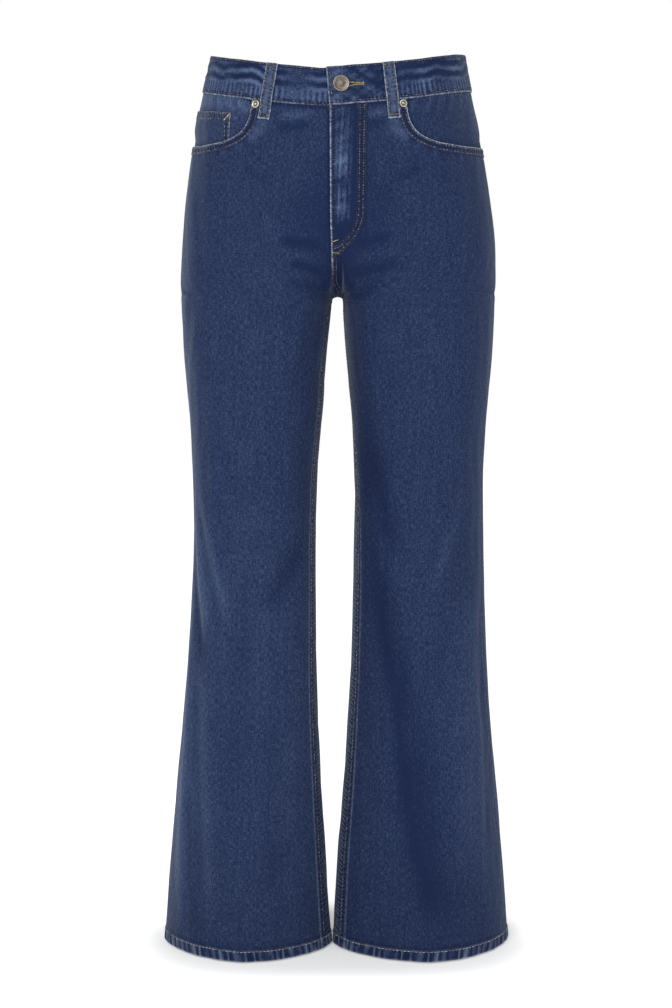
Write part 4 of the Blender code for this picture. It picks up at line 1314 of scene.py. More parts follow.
@dataclass
class FrontPanel:
    """A front, cut away at its top outer corner for the pocket mouth. The left one carries the
    fly and laps over the right one."""

    garment: Garment
    half: Half
    mouth: PocketMouth
    fly: FlyCurve
    hem: HemShape
    columns: int = 112
    hip_level: float = 140.0
    fly_overlap: float = 8.0
    fly_underlap: float = 4.0
    fly_foot: float = 240.0
    flat: Pair = (0.3, 1.02)
    area: float = 0.236

    def inner_edge(self, level: Array) -> Array:
        """s of the edge at the front middle: the fly's fold, or the gap of the seam below it."""
        mm = self.garment.form.s_per_mm(self.half, 0.0, level)
        fade = falling(CROTCH - 15, CROTCH - 1, level)
        lap = self.fly_overlap if self.half is Half.LEFT else self.fly_overlap - self.fly_underlap
        edge = (-lap if self.half is Half.LEFT else lap) * fade
        return (edge + SEAM_GAP / 2) * mm + inseam_place(self.garment.form, self.half, level)

    def places(self) -> tuple[Array, Array]:
        """The grid: its top row follows the cut edge and its mouth, the rows below lie level."""
        start_s, top = self.mouth.start_s, BAND + SEAM_GAP
        inner = float(self.inner_edge(np.array(top)))
        width = (start_s - inner) * self.mouth.scale
        curve_s, curve_level = self.mouth.curve(400)
        run = np.hypot(np.diff(curve_s) * self.mouth.scale, np.diff(curve_level)).sum()
        before = round(self.columns * width / (width + run))
        after = self.columns - before
        at = np.linspace(0, 1, after)
        steps = np.linspace(0, 1, 400)
        s_top = np.concatenate([
            np.linspace(inner, start_s, before, endpoint=False), np.interp(at, steps, curve_s)
        ])
        level_top = np.concatenate([np.full(before, top), np.interp(at, steps, curve_level)])
        level_top = np.maximum(level_top, top)
        share = spread(self.columns, 0.55)[None, :]
        down = (np.linspace(0, 1, 38) ** 1.35)[:, None]
        level_down = leg_rows(self.hip_level + 2.4)[:, None]
        level = np.concatenate([
            level_top[None, :] * (1 - down) + self.hip_level * down,
            np.broadcast_to(level_down, (len(level_down), self.columns)),
        ])
        gap = SEAM_GAP / 2 * self.garment.form.s_per_mm(self.half, 0.25, level)
        first = self.inner_edge(level)
        even = first + (0.5 - gap - first) * share
        blend = np.concatenate([1 - down, np.zeros((len(level_down), 1))])
        top_first = first + (s_top - inner)[None, :] * (0.5 - gap - first) / (0.5 - inner)
        return even + (top_first - even) * blend, level

    def measures(self, s: Array, level: Array) -> SimpleNamespace:
        """Distances in millimetres from the panel's edges and lines."""
        part = self.garment.part_run(self.half, level)
        middle = 2 * s * part
        upper = level < 165
        away, mouth_run = np.full(s.shape, 99.0), np.zeros(s.shape)
        away[upper], mouth_run[upper] = self.mouth.near(s[upper], level[upper])
        edge = (s - self.inner_edge(level)) * 2 * part
        fly_away, fly_run = np.full(s.shape, 99.0), np.zeros(s.shape)
        if self.half is Half.LEFT:
            zone = (level < 262) & (middle < 60)
            path_x, path_y = self.fly.path(2.2)
            fly_away[zone], fly_run[zone] = nearest(path_x, path_y, middle[zone], level[zone])
        return SimpleNamespace(
            middle=middle, side=(1 - 2 * s) * part, across=(2 * s - 0.5) * part, edge=edge,
            mouth=away, mouth_run=mouth_run, fly=fly_away, fly_run=fly_run,
        )

    def lift(self, s: Array, level: Array, m: SimpleNamespace | None = None) -> Array:
        """The outer face's height: doubled at the mouth, the fly and the inseam, with ditches
        beside the seams, and the hem's swell."""
        m = m or self.measures(s, level)
        below = ramp(CROTCH - 6, CROTCH + 12, level)
        fly = falling(self.fly_foot - 12, CROTCH - 8, level)
        rim = 0.55 * falling(self.mouth.turned_width - 1.5, self.mouth.turned_width + 0.8, m.mouth)
        lift = rim - 0.25 * bell(m.mouth - self.mouth.rows[1] - 2.4, 1.3)
        lift += below * (0.5 * falling(6.5, 9, m.edge) - 0.55 * bell(m.edge, 1.3))
        lift += -0.55 * bell(m.side, 1.6) + 0.25 * bell(m.side - 5, 3.5)
        lift += self.hem.lift(m.across, level)
        if self.half is Half.LEFT:
            lift += fly * (1.0 * falling(4, 24, m.edge) - 0.22 * bell(m.edge - 3.2, 1.2))
            lift += -0.28 * bell(m.fly - 4.5, 1.5) * fly + 0.18 * bell(m.fly, 3)
            creases = wander(level, 31, 2) * bell(m.middle - 8, 12) * fly
            return lift + 0.35 * creases
        return lift - fly * 1.7 * falling(2, 14, m.edge)

    def worn(self, s: Array, level: Array, m: SimpleNamespace) -> Array:
        """Pale wear on the mouth's fold, the fly's fold, the seams' ridges and the hem."""
        below = ramp(CROTCH - 6, CROTCH + 12, level)
        worn = 0.98 * bell(m.mouth, 1.15) + 0.14 * bell(m.mouth - 9.5, 1.2)
        ridge = below * ramp(CROTCH + 20, CROTCH + 60, level)
        worn += ridge * 0.34 * bell(m.edge - 7.2, 1.1)
        side = 0.3 if self.half is Half.LEFT else 0.16
        worn += side * bell(m.side - 1.2, 1.1) * ramp(120, 600, level)
        worn += self.hem.worn(m.across, level)
        if self.half is Half.LEFT:
            fly = falling(CROTCH - 42, CROTCH - 4, level)
            worn += fly * 0.85 * bell(m.edge, 1.1) + 0.12 * bell(m.fly - 4.6, 1.1)
        return worn

    def tone(self, s: Array, level: Array, m: SimpleNamespace) -> Array:
        """Where the cloth is lighter or darker. Part of it is painted light and shade: on the folds, a
        highlight down the thigh and knee, and shade in the crotch, between the legs, beside the fly's
        edge and under the waistband.
        """
        below = ramp(CROTCH - 6, CROTCH + 12, level)
        # Painted light and shade on the folds, and a painted shade between the legs on the inner thigh:
        # inside is how dark, inner is where.
        inner = ramp(240, 300, level) * falling(440, 600, level)
        inside = 1.9 if self.half is Half.LEFT else 0.9
        tone = self.garment.form.painted_fold_shading(self.half, s, level) - inside * bell(m.edge, 42) * inner
        # Painted shade round the fly's foot and in the crotch.
        tone += -1.9 * bell(m.middle, 50) * bell(level - 200, 75)
        tone += -4.6 * bell(m.middle - 4, 19) * bell(level - CROTCH + 8, 20)
        tone += 3.4 * bell(m.mouth - 16, 8) * bell(level - 76, 16)
        tone += -below * (2.6 * bell(m.edge, 1.2) + 1.3 * bell(m.edge - 3.6, 2.4))
        tone += below * 1.9 * bell(m.edge - 7.4, 1.3)
        tone += -2.0 * bell(m.side, 1.2) + 0.5 * bell(m.side - 3, 1.4)
        tone += self.hem.tone(m.across, level)
        tone += -5.0 * bell(m.mouth - 5, 2.6) - 1.6 * bell(m.mouth - 10.6, 1.2)
        tone += 1.6 * bell(m.mouth - 14, 5) * wander(m.mouth_run, 17, 0.5)
        # A painted highlight down the front of the thigh and the knee.
        tone += 0.25 * bell(s - 0.24, 0.13) * bell(level - 640, 160)
        tone += 0.18 * bell(s - 0.22, 0.12) * bell(level - 400, 130)
        # Darker towards the hem, and a painted shadow just under the waistband.
        tone += -0.2 * ramp(850, 1040, level) - 3.0 * bell(level - BAND - 2.2, 1.5)
        if self.half is Half.RIGHT:
            tone += 0.5 * ramp(500, 660, level) - 0.35 * ramp(850, 950, level)
        if self.half is Half.LEFT:
            down = falling(190, 225, level)
            patch = bell(level - 118, 30) + bell(level - 182, 26) - 0.5 * bell(level - 150, 7)
            patch += 0.3 * wander(level, 37, 0.3) + 0.4 * bell(level - 64, 12)
            light = bell(m.middle - 3, 8.5) * down * np.clip(patch, -0.6, 1.3)
            streak = bell(m.middle - 6, 13) * down * wander(m.middle + 0.03 * level, 6, 1)
            creases = bell(m.middle - 4, 10) * down * wander(level + 0.5 * m.middle, 17, 2)
            tone += -0.25 + 4.9 * light + 3.2 * streak * (0.5 + np.clip(patch, 0, 1)) + 1.6 * creases
            tone += -7.0 * bell(m.fly, 4.2) - 2.2 * bell(m.middle - 18, 3) * down
            tone += -3.2 * bell(m.middle - 4, 15) * bell(level - 214, 13)
            tone += -2.8 * bell(m.edge - 3, 1.4) * falling(225, 245, level)
            beside = ramp(250, 262, level) * falling(276, 282, level)
            tone += -2.4 * beside * bell(m.edge - 6, 5)
        else:
            # A painted shade on the right front beside the left fly's lapped edge.
            seat = (level < CROTCH).astype(float)
            tone += -2.4 * bell(m.edge - 4, 3) * seat
        # A painted shade down the middle at the crotch.
        rise = ramp(225, 240, level) * falling(CROTCH, CROTCH + 25, level)
        return tone - 1.5 * rise * bell(m.middle, 7)

    def build(self) -> None:
        """Builds the panel."""
        s, level = self.places()
        m = self.measures(s, level)
        below = ramp(CROTCH + 2, CROTCH + 14, level)
        seam = strongest(
            (m.mouth_run, m.mouth, 0.62 * falling(7.5, 11, m.mouth)),
            (level * 0.72, m.edge, 0.75 * below * falling(4.4, 6.6, m.edge)),
            self.hem.seam(m.across, level),
            (level, m.side, 0.35 * falling(2.5, 6, m.side)),
            (m.fly_run * 1.3, m.fly, 0.75 * falling(3, 6, m.fly)),
            (level * 1.2, m.edge * 2, 0.95 * bell(m.edge - 3, 2.6) * falling(262, 276, level)),
            (m.across, level * 0.2, 0.45 * falling(2, 8, level - BAND)),
        )
        patch = ClothPatch(
            "front_" + self.half.word, self.half, s, level, self.lift(s, level, m),
            -DENIM_THICKNESS + np.minimum(self.lift(s, level, m), 0),
            m.across, level, self.worn(s, level, m), self.tone(s, level, m), seam,
        )
        self.garment.sheet(patch, flat=self.flat, held="hung", rests_on=["waistband"], area=self.area)

    def stitch(self, thread: Thread) -> None:
        """Adds the mouth's two rows and one row beside the inseam."""
        for offset in self.mouth.rows:
            s, level = self.mouth.curve(300, offset)
            thread.row(self.half, s, level, self.lift(s, level))
        level = np.arange(CROTCH + 14, OUTSEAM - 14, 3.0)
        mm = self.garment.form.s_per_mm(self.half, 0.0, level)
        s = self.inner_edge(level) + 1.9 * mm
        lift = self.lift(s, level)
        thread.row(self.half, s % 1.0, level, lift)


@dataclass
class BackPanel:
    """A back with its yoke. Flat-felled seams join them to each other and at the middle."""

    garment: Garment
    half: Half
    hem: HemShape
    columns: int = 112
    yoke_side: float = 34.0
    yoke_middle: float = 66.0
    felled: float = 9.0
    flat: Pair = (0.34, 1.03)
    area: float = 0.28
    yoke_flat: Pair = (0.245, 0.07)
    yoke_area: float = 0.0118

    def yoke_seam(self, s: Array) -> Array:
        """The level of the seam under the yoke: a straight fall towards the back middle."""
        share = np.clip((s - 0.5) * 2, 0, 1)
        return BAND + self.yoke_side + (self.yoke_middle - self.yoke_side) * share

    def measures(self, s: Array, level: Array) -> SimpleNamespace:
        """Distances in millimetres from the seams."""
        part = self.garment.part_run(self.half, level, back=True)
        return SimpleNamespace(
            middle=(1 + inseam_place(self.garment.form, self.half, level) - s) * 2 * part,
            side=(2 * s - 1) * part, across=(2 * s - 1.5) * part, yoke=level - self.yoke_seam(s),
        )

    def lift(self, s: Array, level: Array) -> Array:
        """The outer face's height: raised where a seam is felled, with a ditch at its line."""
        m = self.measures(s, level)
        seat = falling(CROTCH - 14, CROTCH, level)
        lift = 0.45 * seat * (self.half is Half.LEFT) * falling(self.felled - 1, self.felled + 1, m.middle)
        lift += -0.4 * bell(m.middle, 1.5) - 0.5 * bell(m.side, 1.6)
        above = (m.yoke < 0).astype(float)
        lift += 0.45 * above * falling(self.felled - 1, self.felled + 1, -m.yoke)
        lift += -0.35 * bell(m.yoke, 1.4)
        return lift + self.hem.lift(m.across, level)

    def patch(self, name: str, s: Array, level: Array) -> ClothPatch:
        """A patch over those places, with its wear and puckers."""
        m = self.measures(s, level)
        seat = falling(CROTCH - 14, CROTCH, level)
        worn = 0.4 * bell(m.yoke + 0.8, 1.2) + 0.28 * bell(m.yoke + self.felled, 1.1)
        worn += seat * (0.4 * bell(m.middle - 0.8, 1.2) + 0.25 * bell(m.middle - self.felled, 1.1))
        worn += 0.22 * bell(m.side - 1.4, 1.2)
        worn += self.hem.worn(m.across, level)
        # Painted light and shade on the folds, and darker towards the hem.
        tone = self.garment.form.painted_fold_shading(self.half, s, level) - 0.2 * ramp(850, 1040, level)
        tone += 0.9 * bell(s - 0.76, 0.13) * bell(level - 215, 95)
        tone += 0.2 * bell(s - 0.77, 0.14) * bell(level - 640, 140)
        # Painted shade between the legs, on the back of the inner thigh.
        tone += -0.4 * bell(m.middle, 26) * ramp(300, 340, level) * falling(470, 620, level)
        tone += -2.0 * bell(m.middle, 1.3) - 2.0 * bell(m.side, 1.2) - 1.5 * bell(m.yoke, 1.2)
        tone += -0.9 * bell(m.yoke + 5, 2.5) - 0.9 * seat * bell(m.middle - 5, 2.5)
        tone += self.hem.tone(m.across, level)
        seam = strongest(
            (m.across, m.yoke, 0.8 * falling(8, 12, np.abs(m.yoke))),
            (level * 0.8, m.middle, 0.7 * falling(8, 12, m.middle)),
            self.hem.seam(m.across, level),
            (level, m.side, 0.35 * falling(3, 7, m.side)),
            (m.across, level * 0.2, 0.4 * falling(2, 8, level - BAND)),
        )
        lift = self.lift(s, level)
        inner = -DENIM_THICKNESS + np.minimum(lift, 0)
        return ClothPatch(name, self.half, s, level, lift, inner, m.across, level, worn, tone, seam)

    def build(self) -> None:
        """Builds the panel and the yoke."""
        form, half = self.garment.form, self.half
        first = BAND + self.yoke_side + np.array([0, 0.8, 1.8, 3.0, 4.4])
        base = np.concatenate([first, leg_rows(83.0)])[:, None]
        gap = SEAM_GAP / 2 * form.s_per_mm(half, 0.75, base)
        end = 0.5 + inseam_place(form, half, base)
        s = 0.5 + gap + (end - 2 * gap) * spread(self.columns, 0.5)[None, :]
        fall = self.yoke_seam(s) + SEAM_GAP / 2 - base[0]
        level = base + fall * falling(float(base[0, 0]), 250.0, base)
        panel, above = self.patch("back_" + half.word, s, level), ["yoke_" + half.word]
        self.garment.sheet(panel, flat=self.flat, held="hung", rests_on=above, area=self.area)

        across = 0.5004 + 0.4992 * spread(96, 0.3)[None, :]
        top = BAND + SEAM_GAP
        foot = self.yoke_seam(across) - SEAM_GAP / 2
        share = spread(26, 0.5)[:, None]
        s, level = np.broadcast_arrays(across, top + (foot - top) * share)
        yoke, above = self.patch("yoke_" + half.word, s, level), ["waistband"]
        self.garment.sheet(yoke, flat=self.yoke_flat, held="hung", rests_on=above, area=self.yoke_area)

    def stitch(self, thread: Thread) -> None:
        """Adds two rows above the yoke's seam, and the left back's two rows by the middle."""
        for rise in (1.6, self.felled - 1.8):
            s = np.linspace(0.504, 0.997, 200)
            level = self.yoke_seam(s) - rise
            thread.row(self.half, s, level, self.lift(s, level))
            if self.half is Half.LEFT:
                level = np.arange(BAND + 2, CROTCH - 8, 3.0)
                s = 1 - rise * self.garment.form.s_per_mm(self.half, 0.75, level)
                thread.row(self.half, s, level, self.lift(s, level))


@dataclass
class Hem:
    """A leg's turned-up hem inside its foot, and the row of stitches that holds it."""

    garment: Garment
    half: Half
    shape: HemShape
    thickness: float = 1.8
    row_rise: float = 1.2
    flat: Pair = (0.58, 0.0125)

    def build(self) -> None:
        """Builds the turn-up as a ring of cloth behind the leg's face."""
        s = np.linspace(0, 1, 260, endpoint=False)[None, :]
        level = np.linspace(OUTSEAM - self.shape.height, OUTSEAM, 9)[:, None]
        s, level = np.broadcast_arrays(s, level)
        outer = -0.5 - DENIM_THICKNESS
        across = s * self.garment.form.run(self.half, level)
        patch = ClothPatch(
            "hem_turn_up_" + self.half.word, self.half, s, level, outer, outer - self.thickness,
            across, level, 0.25, 0.0, run_on=True,
        )
        self.garment.sheet(
            patch, Slot.UNDER, flat=self.flat, held="folded", rests_on=["front_" + self.half.word]
        )

    def stitch(self, thread: Thread) -> None:
        """Adds the row round the leg just under the hem's upper edge."""
        s = np.linspace(0, 1, 420)
        level = np.full_like(s, OUTSEAM - self.shape.height + self.row_rise)
        part = self.garment.part_run(self.half, OUTSEAM)
        back = self.garment.part_run(self.half, OUTSEAM, back=True)
        across = np.where(s < 0.5, (2 * s - 0.5) * part, (2 * s - 1.5) * back)
        thread.row(self.half, s, level, self.shape.lift(across, level), 3.4)


@dataclass
class FrontPocket:
    """What shows in a front pocket's mouth: the facing, and on the right the coin pocket."""

    garment: Garment
    mouth: PocketMouth
    depth: float
    underlap: float = 12.0
    flat: Pair = (0.165, 0.08)
    area: float = 0.0096

    def lift(self, s: Array, level: Array) -> Array:
        """The facing's face: near the form by the waistband and side seam, and sunk behind the
        front panel by the mouth."""
        away, _ = self.mouth.near(s, level)
        signed = np.where(self.mouth.is_open(s, level), away, -away)
        sink = falling(1, 22, signed)
        return -0.35 - (self.depth - 0.35) * sink + 0.5 * bell(signed - 30, 14)

    def tone(self, s: Array, level: Array) -> Array:
        """Pale pulls below the waistband, and the shade inside the mouth's rim."""
        away, run = self.mouth.near(s, level)
        pulls = wander((s + level / 900.0) * self.mouth.scale, 19.0, 0.9 + self.mouth.half)
        top = bell(level - BAND - 7, 10)
        corner, ground = (2.6, 0.9) if self.mouth.half is Half.RIGHT else (0.4, 0.0)
        tone = ground + top * (corner + 1.9 * pulls) + 1.2 * bell(s - 0.47, 0.05) * bell(level - 62, 22)
        rim = 1.4 if self.mouth.half is Half.LEFT else 0.4
        return tone - 1.5 * bell(away, 4) + rim * bell(s - 0.485, 0.03) * bell(level - 84, 22)

    def build(self) -> None:
        """Builds the facing."""
        half, form = self.mouth.half, self.garment.form
        under = self.underlap * form.s_per_mm(half, 0.0, BAND)
        rows = np.linspace(BAND + SEAM_GAP, self.mouth.foot + self.underlap, 44)[:, None]
        first = self.mouth.start_s - under
        gap = SEAM_GAP / 2 * form.s_per_mm(half, 0.25, rows)
        s, level = np.broadcast_arrays(first + (0.5 - gap - first) * np.linspace(0, 1, 76), rows)
        lift = self.lift(s, level)
        across = s * self.mouth.scale
        side = (0.5 - s) * self.mouth.scale
        seam = strongest(
            (across, level * 0.2, 0.5 * falling(2, 8, level - BAND)),
            (level, side, 0.35 * falling(2, 6, side)),
        )
        patch = ClothPatch(
            "pocket_facing_" + half.word, half, s, level, lift, lift - 1.0, across, level,
            0.1 * bell(side - 1.2, 1.2), self.tone(s, level), seam,
        )
        self.garment.sheet(patch, flat=self.flat, held="hung", rests_on=["waistband"], area=self.area)


@dataclass
class CoinPocket:
    """The small patch pocket on the right facing, with a hemmed top edge."""

    garment: Garment
    pocket: FrontPocket
    reach: Pair = (0.269, 0.462)
    levels: Pair = (61.0, 118.0)
    hem: float = 9.5
    drop: float = 3.0
    flat: Pair = (0.092, 0.057)
    area: float = 0.0043

    def top(self, s: Array) -> Array:
        """The level of the patch's top edge, which falls towards the side seam."""
        return self.levels[0] + self.drop * (s - self.reach[0]) / (self.reach[1] - self.reach[0])

    def lift(self, s: Array, level: Array) -> Array:
        """Just off the facing, and doubled along the top hem."""
        near_top = falling(self.hem - 1, self.hem + 0.8, level - self.top(s))
        return self.pocket.lift(s, level) + 1.25 + 0.4 * near_top

    def build(self) -> None:
        """Builds the patch."""
        s = (self.reach[0] + (self.reach[1] - self.reach[0]) * spread(56, 0.3))[None, :]
        level = self.top(s) + ((self.levels[1] - self.levels[0]) * spread(44, 0.3))[:, None]
        s, level = np.broadcast_arrays(s, level)
        scale = self.pocket.mouth.scale
        left, top = (s - self.reach[0]) * scale, level - self.top(s)
        worn = 0.62 * bell(left, 0.9) + 0.45 * bell(top, 0.9) + 0.1 * bell(top - self.hem, 1.1)
        seam = strongest(
            (s * scale, top, 0.55 * falling(8, 11, top)),
            (level, left, 0.55 * falling(6, 9, left)),
        )
        tone = 0.6 + 1.4 * bell(s - 0.43, 0.05) * wander(level, 23, 0.4) - 0.6 * bell(top - 5.2, 2.2)
        tone += -1.6 * bell(left - 4, 2) * ramp(8, 10, top)
        lift = self.lift(s, level)
        patch = ClothPatch(
            "coin_pocket", Half.RIGHT, s, level, lift, lift - 1.0, s * scale, level,
            worn, tone, seam, rim_bulge=0.3,
        )
        self.garment.sheet(
            patch, flat=self.flat, held="laid", rests_on=["pocket_facing_right"], area=self.area
        )

    def stitch(self, thread: Thread, gold: Thread) -> None:
        """Adds two rows along the hem, two down the inner side, and the gold corner tack."""
        scale = self.pocket.mouth.scale
        s = np.linspace(self.reach[0] + 1.6 / scale, self.reach[1] - 0.003, 120)
        for drop in (1.7, self.hem - 1.3):
            level = self.top(s) + drop
            thread.row(Half.RIGHT, s, level, self.lift(s, level))
        level = np.linspace(self.levels[0] + self.hem, self.levels[1] - 22, 60)
        for inset in (1.7, 6.5):
            s = np.full_like(level, self.reach[0] + inset / scale)
            thread.row(Half.RIGHT, s, level, self.lift(s, level))
        ends = (
            (self.reach[0] + 1.2 / scale, self.levels[0] + 1.5),
            (self.reach[0] + 8.5 / scale, self.levels[0] + 9.5),
        )
        gold.bar(Half.RIGHT, ends, float(self.lift(np.array([ends[0][0]]), np.array([66.0]))[0]), 1.9)


@dataclass
class Fly:
    """The fly's facing, the zip behind it, the J-shaped topstitching and its bar tacks."""

    garment: Garment
    front: FrontPanel
    curve: FlyCurve
    facing_width: float = 36.0
    facing_lift: Pair = (-3.9, -2.8)
    zip_lift: Pair = (-5.8, -4.6)
    tape_reach: Pair = (-8.0, 18.0)
    tape_foot: float = 226.0
    tooth_pitch: float = 2.1
    facing_flat: Pair = (0.038, 0.2)
    tape_flat: Pair = (0.027, 0.184)

    def build(self) -> None:
        """Builds the facing, the tape and the teeth."""
        form = self.garment.form
        top = BAND + SEAM_GAP
        turn = np.linspace(0, math.radians(84), 22)
        straight = np.linspace(top, 196.0, 60, endpoint=False)
        level = np.concatenate([straight, 196.0 + 44.0 * np.sin(turn)])[:, None]
        wide = np.concatenate([np.full(60, self.facing_width), self.facing_width * np.cos(turn)])
        mm = form.s_per_mm(Half.LEFT, 0.0, level)
        inner = self.front.inner_edge(level)
        s = inner + wide[:, None] * mm * np.linspace(0, 1, 18)[None, :]
        s, level = np.broadcast_arrays(s, level)
        patch = ClothPatch(
            "fly_facing", Half.LEFT, s, level, self.facing_lift[1], self.facing_lift[0], s / mm,
            level, 0.0, 0.0,
        )
        self.garment.sheet(
            patch, Slot.UNDER, flat=self.facing_flat, held="hung", rests_on=["front_left"], area=0.0062
        )

        rows = np.linspace(top, self.tape_foot, 70)[:, None]
        mm = form.s_per_mm(Half.LEFT, 0.0, rows)
        s = np.linspace(*self.tape_reach, 14)[None, :] * mm
        s, rows = np.broadcast_arrays(s, rows)
        patch = ClothPatch(
            "zip", Half.LEFT, s, rows, self.zip_lift[1], self.zip_lift[0], s / mm, rows, under=0.0
        )
        tape = adopt(patch.build(form, self.garment.finishes.tape), Slot.TAPE, "zip")
        teeth = Thread(form, radius=0.55, seed=5)
        ends = ((5.0 * float(mm.min()), top + 3.0), (5.0 * float(mm.min()), self.tape_foot - 4.0))
        teeth.bar(Half.LEFT, ends, self.zip_lift[0] - 1.7, 4.4, self.tooth_pitch)
        teeth_piece = adopt(teeth.build("zip_teeth", self.garment.finishes.teeth), Slot.METAL)

    def stitch(self, thread: Thread, gold: Thread) -> None:
        """Adds the J's two rows, the rows beside the rise below it, and the tacks at its foot."""
        form, left = self.garment.form, Half.LEFT
        for inset in (0.0, 4.4):
            x, level = self.curve.path(inset)
            s = x * form.s_per_mm(left, 0.0, level)
            thread.row(left, s, level, self.front.lift(s, level) + 0.05, 1.9)
        level = np.arange(self.front.fly_foot + 3, CROTCH - 2, 2.0)
        for x in (2.0, 6.4):
            s = self.front.inner_edge(level) + x * form.s_per_mm(left, 0.0, level)
            thread.row(left, s, level, self.front.lift(s, level), 2.6)
        mm = float(form.s_per_mm(left, 0.0, 234.0))
        gold.bar(left, ((-7.0 * mm, 226.5), (0.6 * mm, 224.0)), 1.1, 1.0)
        gold.bar(left, ((-7.0 * mm, 238.0), (1.6 * mm, 238.5)), 1.0, 1.0)


@dataclass
class Waistband:
    """One strip round the waist, whose left end laps over the right end at the front."""

    garment: Garment
    lifts: Pair = (-1.3, 1.2)
    end_overlaps: Pair = (12.0, 8.0)
    underlap: float = 34.0
    bar_pitch: float = 5.6
    rows: Pair = (1.6, 39.6)
    flat: Pair = (0.925, 0.042)

    def places(self) -> tuple[Array, Array, Array, Array]:
        """Half, s, level and the length along the strip, from the hidden end round to the end
        that shows."""
        form = self.garment.form
        mm = float(form.s_per_mm(Half.LEFT, 0.0, 20.0))
        level = np.concatenate([[0.0, 0.7], np.linspace(1.7, 40.3, 38), [41.3, BAND]])[:, None]
        end = -np.interp(level, [0, BAND], self.end_overlaps) * mm
        right = np.linspace(-self.underlap * mm, 1, 300)[None, :]
        left = 1 + (end - 1) * np.linspace(0, 1, 291)[None, 1:]
        s = np.concatenate([np.broadcast_to(right, (len(level), 300)), left], axis=1)
        half = np.broadcast_to(np.repeat([Half.RIGHT, Half.LEFT], [300, 290])[None, :], s.shape)
        run_right, run_left = (float(form.run(one, 20.0)) for one in Half)
        along = np.where(half == Half.RIGHT, s * run_right, run_right + (1 - s) * run_left)
        return half, s, np.broadcast_to(level, s.shape), along

    @staticmethod
    def settle(half: Array, s: Array) -> Array:
        """How far the ends leave the form: the hidden one sinks and the one that shows rises."""
        under = -3.0 * falling(0.02, 0.14, s)
        over = 0.9 * falling(0.02, 0.1, s)
        return np.where(half == Half.RIGHT, under, over)

    def bars(self, along: Array, level: Array) -> Array:
        """Upright puckers in the lower part, uneven in pitch: a sine along the strip."""
        wave = np.sin(2 * math.pi * along / self.bar_pitch + 2.2 * wander(along, 47, 0.4))
        strength = 0.55 + 0.45 * wander(along, 83, 1.9)
        return wave * strength * ramp(22, 31, level) * falling(39.5, 41.5, level)

    @staticmethod
    def crease(along: Array, level: Array) -> Array:
        """Long level creases in the upper part: a sine of the level, shifted and faded along."""
        shift = 3.4 * wander(along, 90, 0.8) + 1.2 * wander(along, 31, 1.4)
        wave = np.sin(2 * math.pi * (level + shift) / 12.0 + 0.7)
        strength = 0.55 + 0.55 * wander(along, 120, 2.7)
        return wave * strength * falling(23, 31, level) * ramp(2, 6, level)

    def lift(self, half: Array, s: Array, level: Array, along: Array) -> Array:
        """The outer face: long creases along the upper part, bars below, and rolled edges."""
        roll = -0.45 * (bell(level, 0.9) + 0.6 * bell(BAND - level, 0.8))
        ditch = -0.3 * (bell(level - self.rows[0], 0.9) + bell(level - self.rows[1], 1))
        near_end = np.where(half == Half.LEFT, ramp(0, 0.1, s), 1.0)
        relief = 0.75 * self.crease(along, level) * (0.4 + 0.6 * near_end)
        relief += 0.5 * self.bars(along, level) * near_end
        return self.lifts[1] + self.settle(half, s) + relief + roll + ditch

    def build(self) -> None:
        """Builds the strip."""
        half, s, level, along = self.places()
        lift = self.lift(half, s, level, along)
        end = along[:, -1:] - along
        worn = 0.62 * bell(BAND - level, 1) + 0.25 * bell(level, 0.8)
        worn += 0.62 * bell(end, 1) + 0.1 * np.clip(self.bars(along, level), 0, 1) ** 2
        base = np.where(half == Half.LEFT, -0.2, 0.9)
        # Lighter on the creases' and puckers' crests and darker in their hollows: partly wash wear, partly
        # painted light and shade.
        tone = base + 5.6 * self.crease(along, level) + 4.6 * self.bars(along, level)
        tone += 1.6 * ramp(22, 30, level) * falling(37, 39, level)
        tone += 2.0 * wander(along, 66, 0.2) * bell(level - 20, 14)
        button = (half == Half.LEFT) & (s < 0.13)
        blot = wander(along + 1.3 * level, 26, 1.2) + 0.7 * wander(1.6 * level - along, 21, 0.5)
        tone = np.where(button, tone * ramp(0.06, 0.13, s) + 2.4 * blot * falling(0.09, 0.13, s), tone)
        tone += 3.8 * bell(end - 9, 6) * (half == Half.LEFT)
        tone += -3.0 * bell(end - 52, 6) * bell(level - 22, 12) * (half == Half.LEFT)
        tone += -3.0 * bell(level - self.rows[1], 1.4) - 2.0 * bell(level - self.rows[0] - 1.2, 1.2)
        seam = strongest(
            (along, level, 0.35 * bell(level - self.rows[0], 3)),
            (along, level, 0.55 * ramp(34, 38, level)),
        )
        patch = ClothPatch(
            "waistband", half, s, level, lift, self.lifts[0] + self.settle(half, s),
            level, along, worn, tone, seam,
        )
        self.garment.sheet(patch, flat=self.flat, held="stretched", area=0.0375)

    def stitch(self, thread: Thread) -> None:
        """Adds a row by each long edge and one down the end that shows."""
        half, s, level, along = self.places()
        for depth in self.rows:
            row = int(np.abs(level[:, 0] - depth).argmin())
            first = 26
            parts = [values[row, first:-2] for values in (half, s, level, along)]
            thread.row(parts[0], parts[1], parts[2], self.lift(*parts))
        column = -3
        parts = [values[2:-2, column] for values in (half, s, level, along)]
        thread.row(parts[0], parts[1], parts[2], self.lift(*parts))


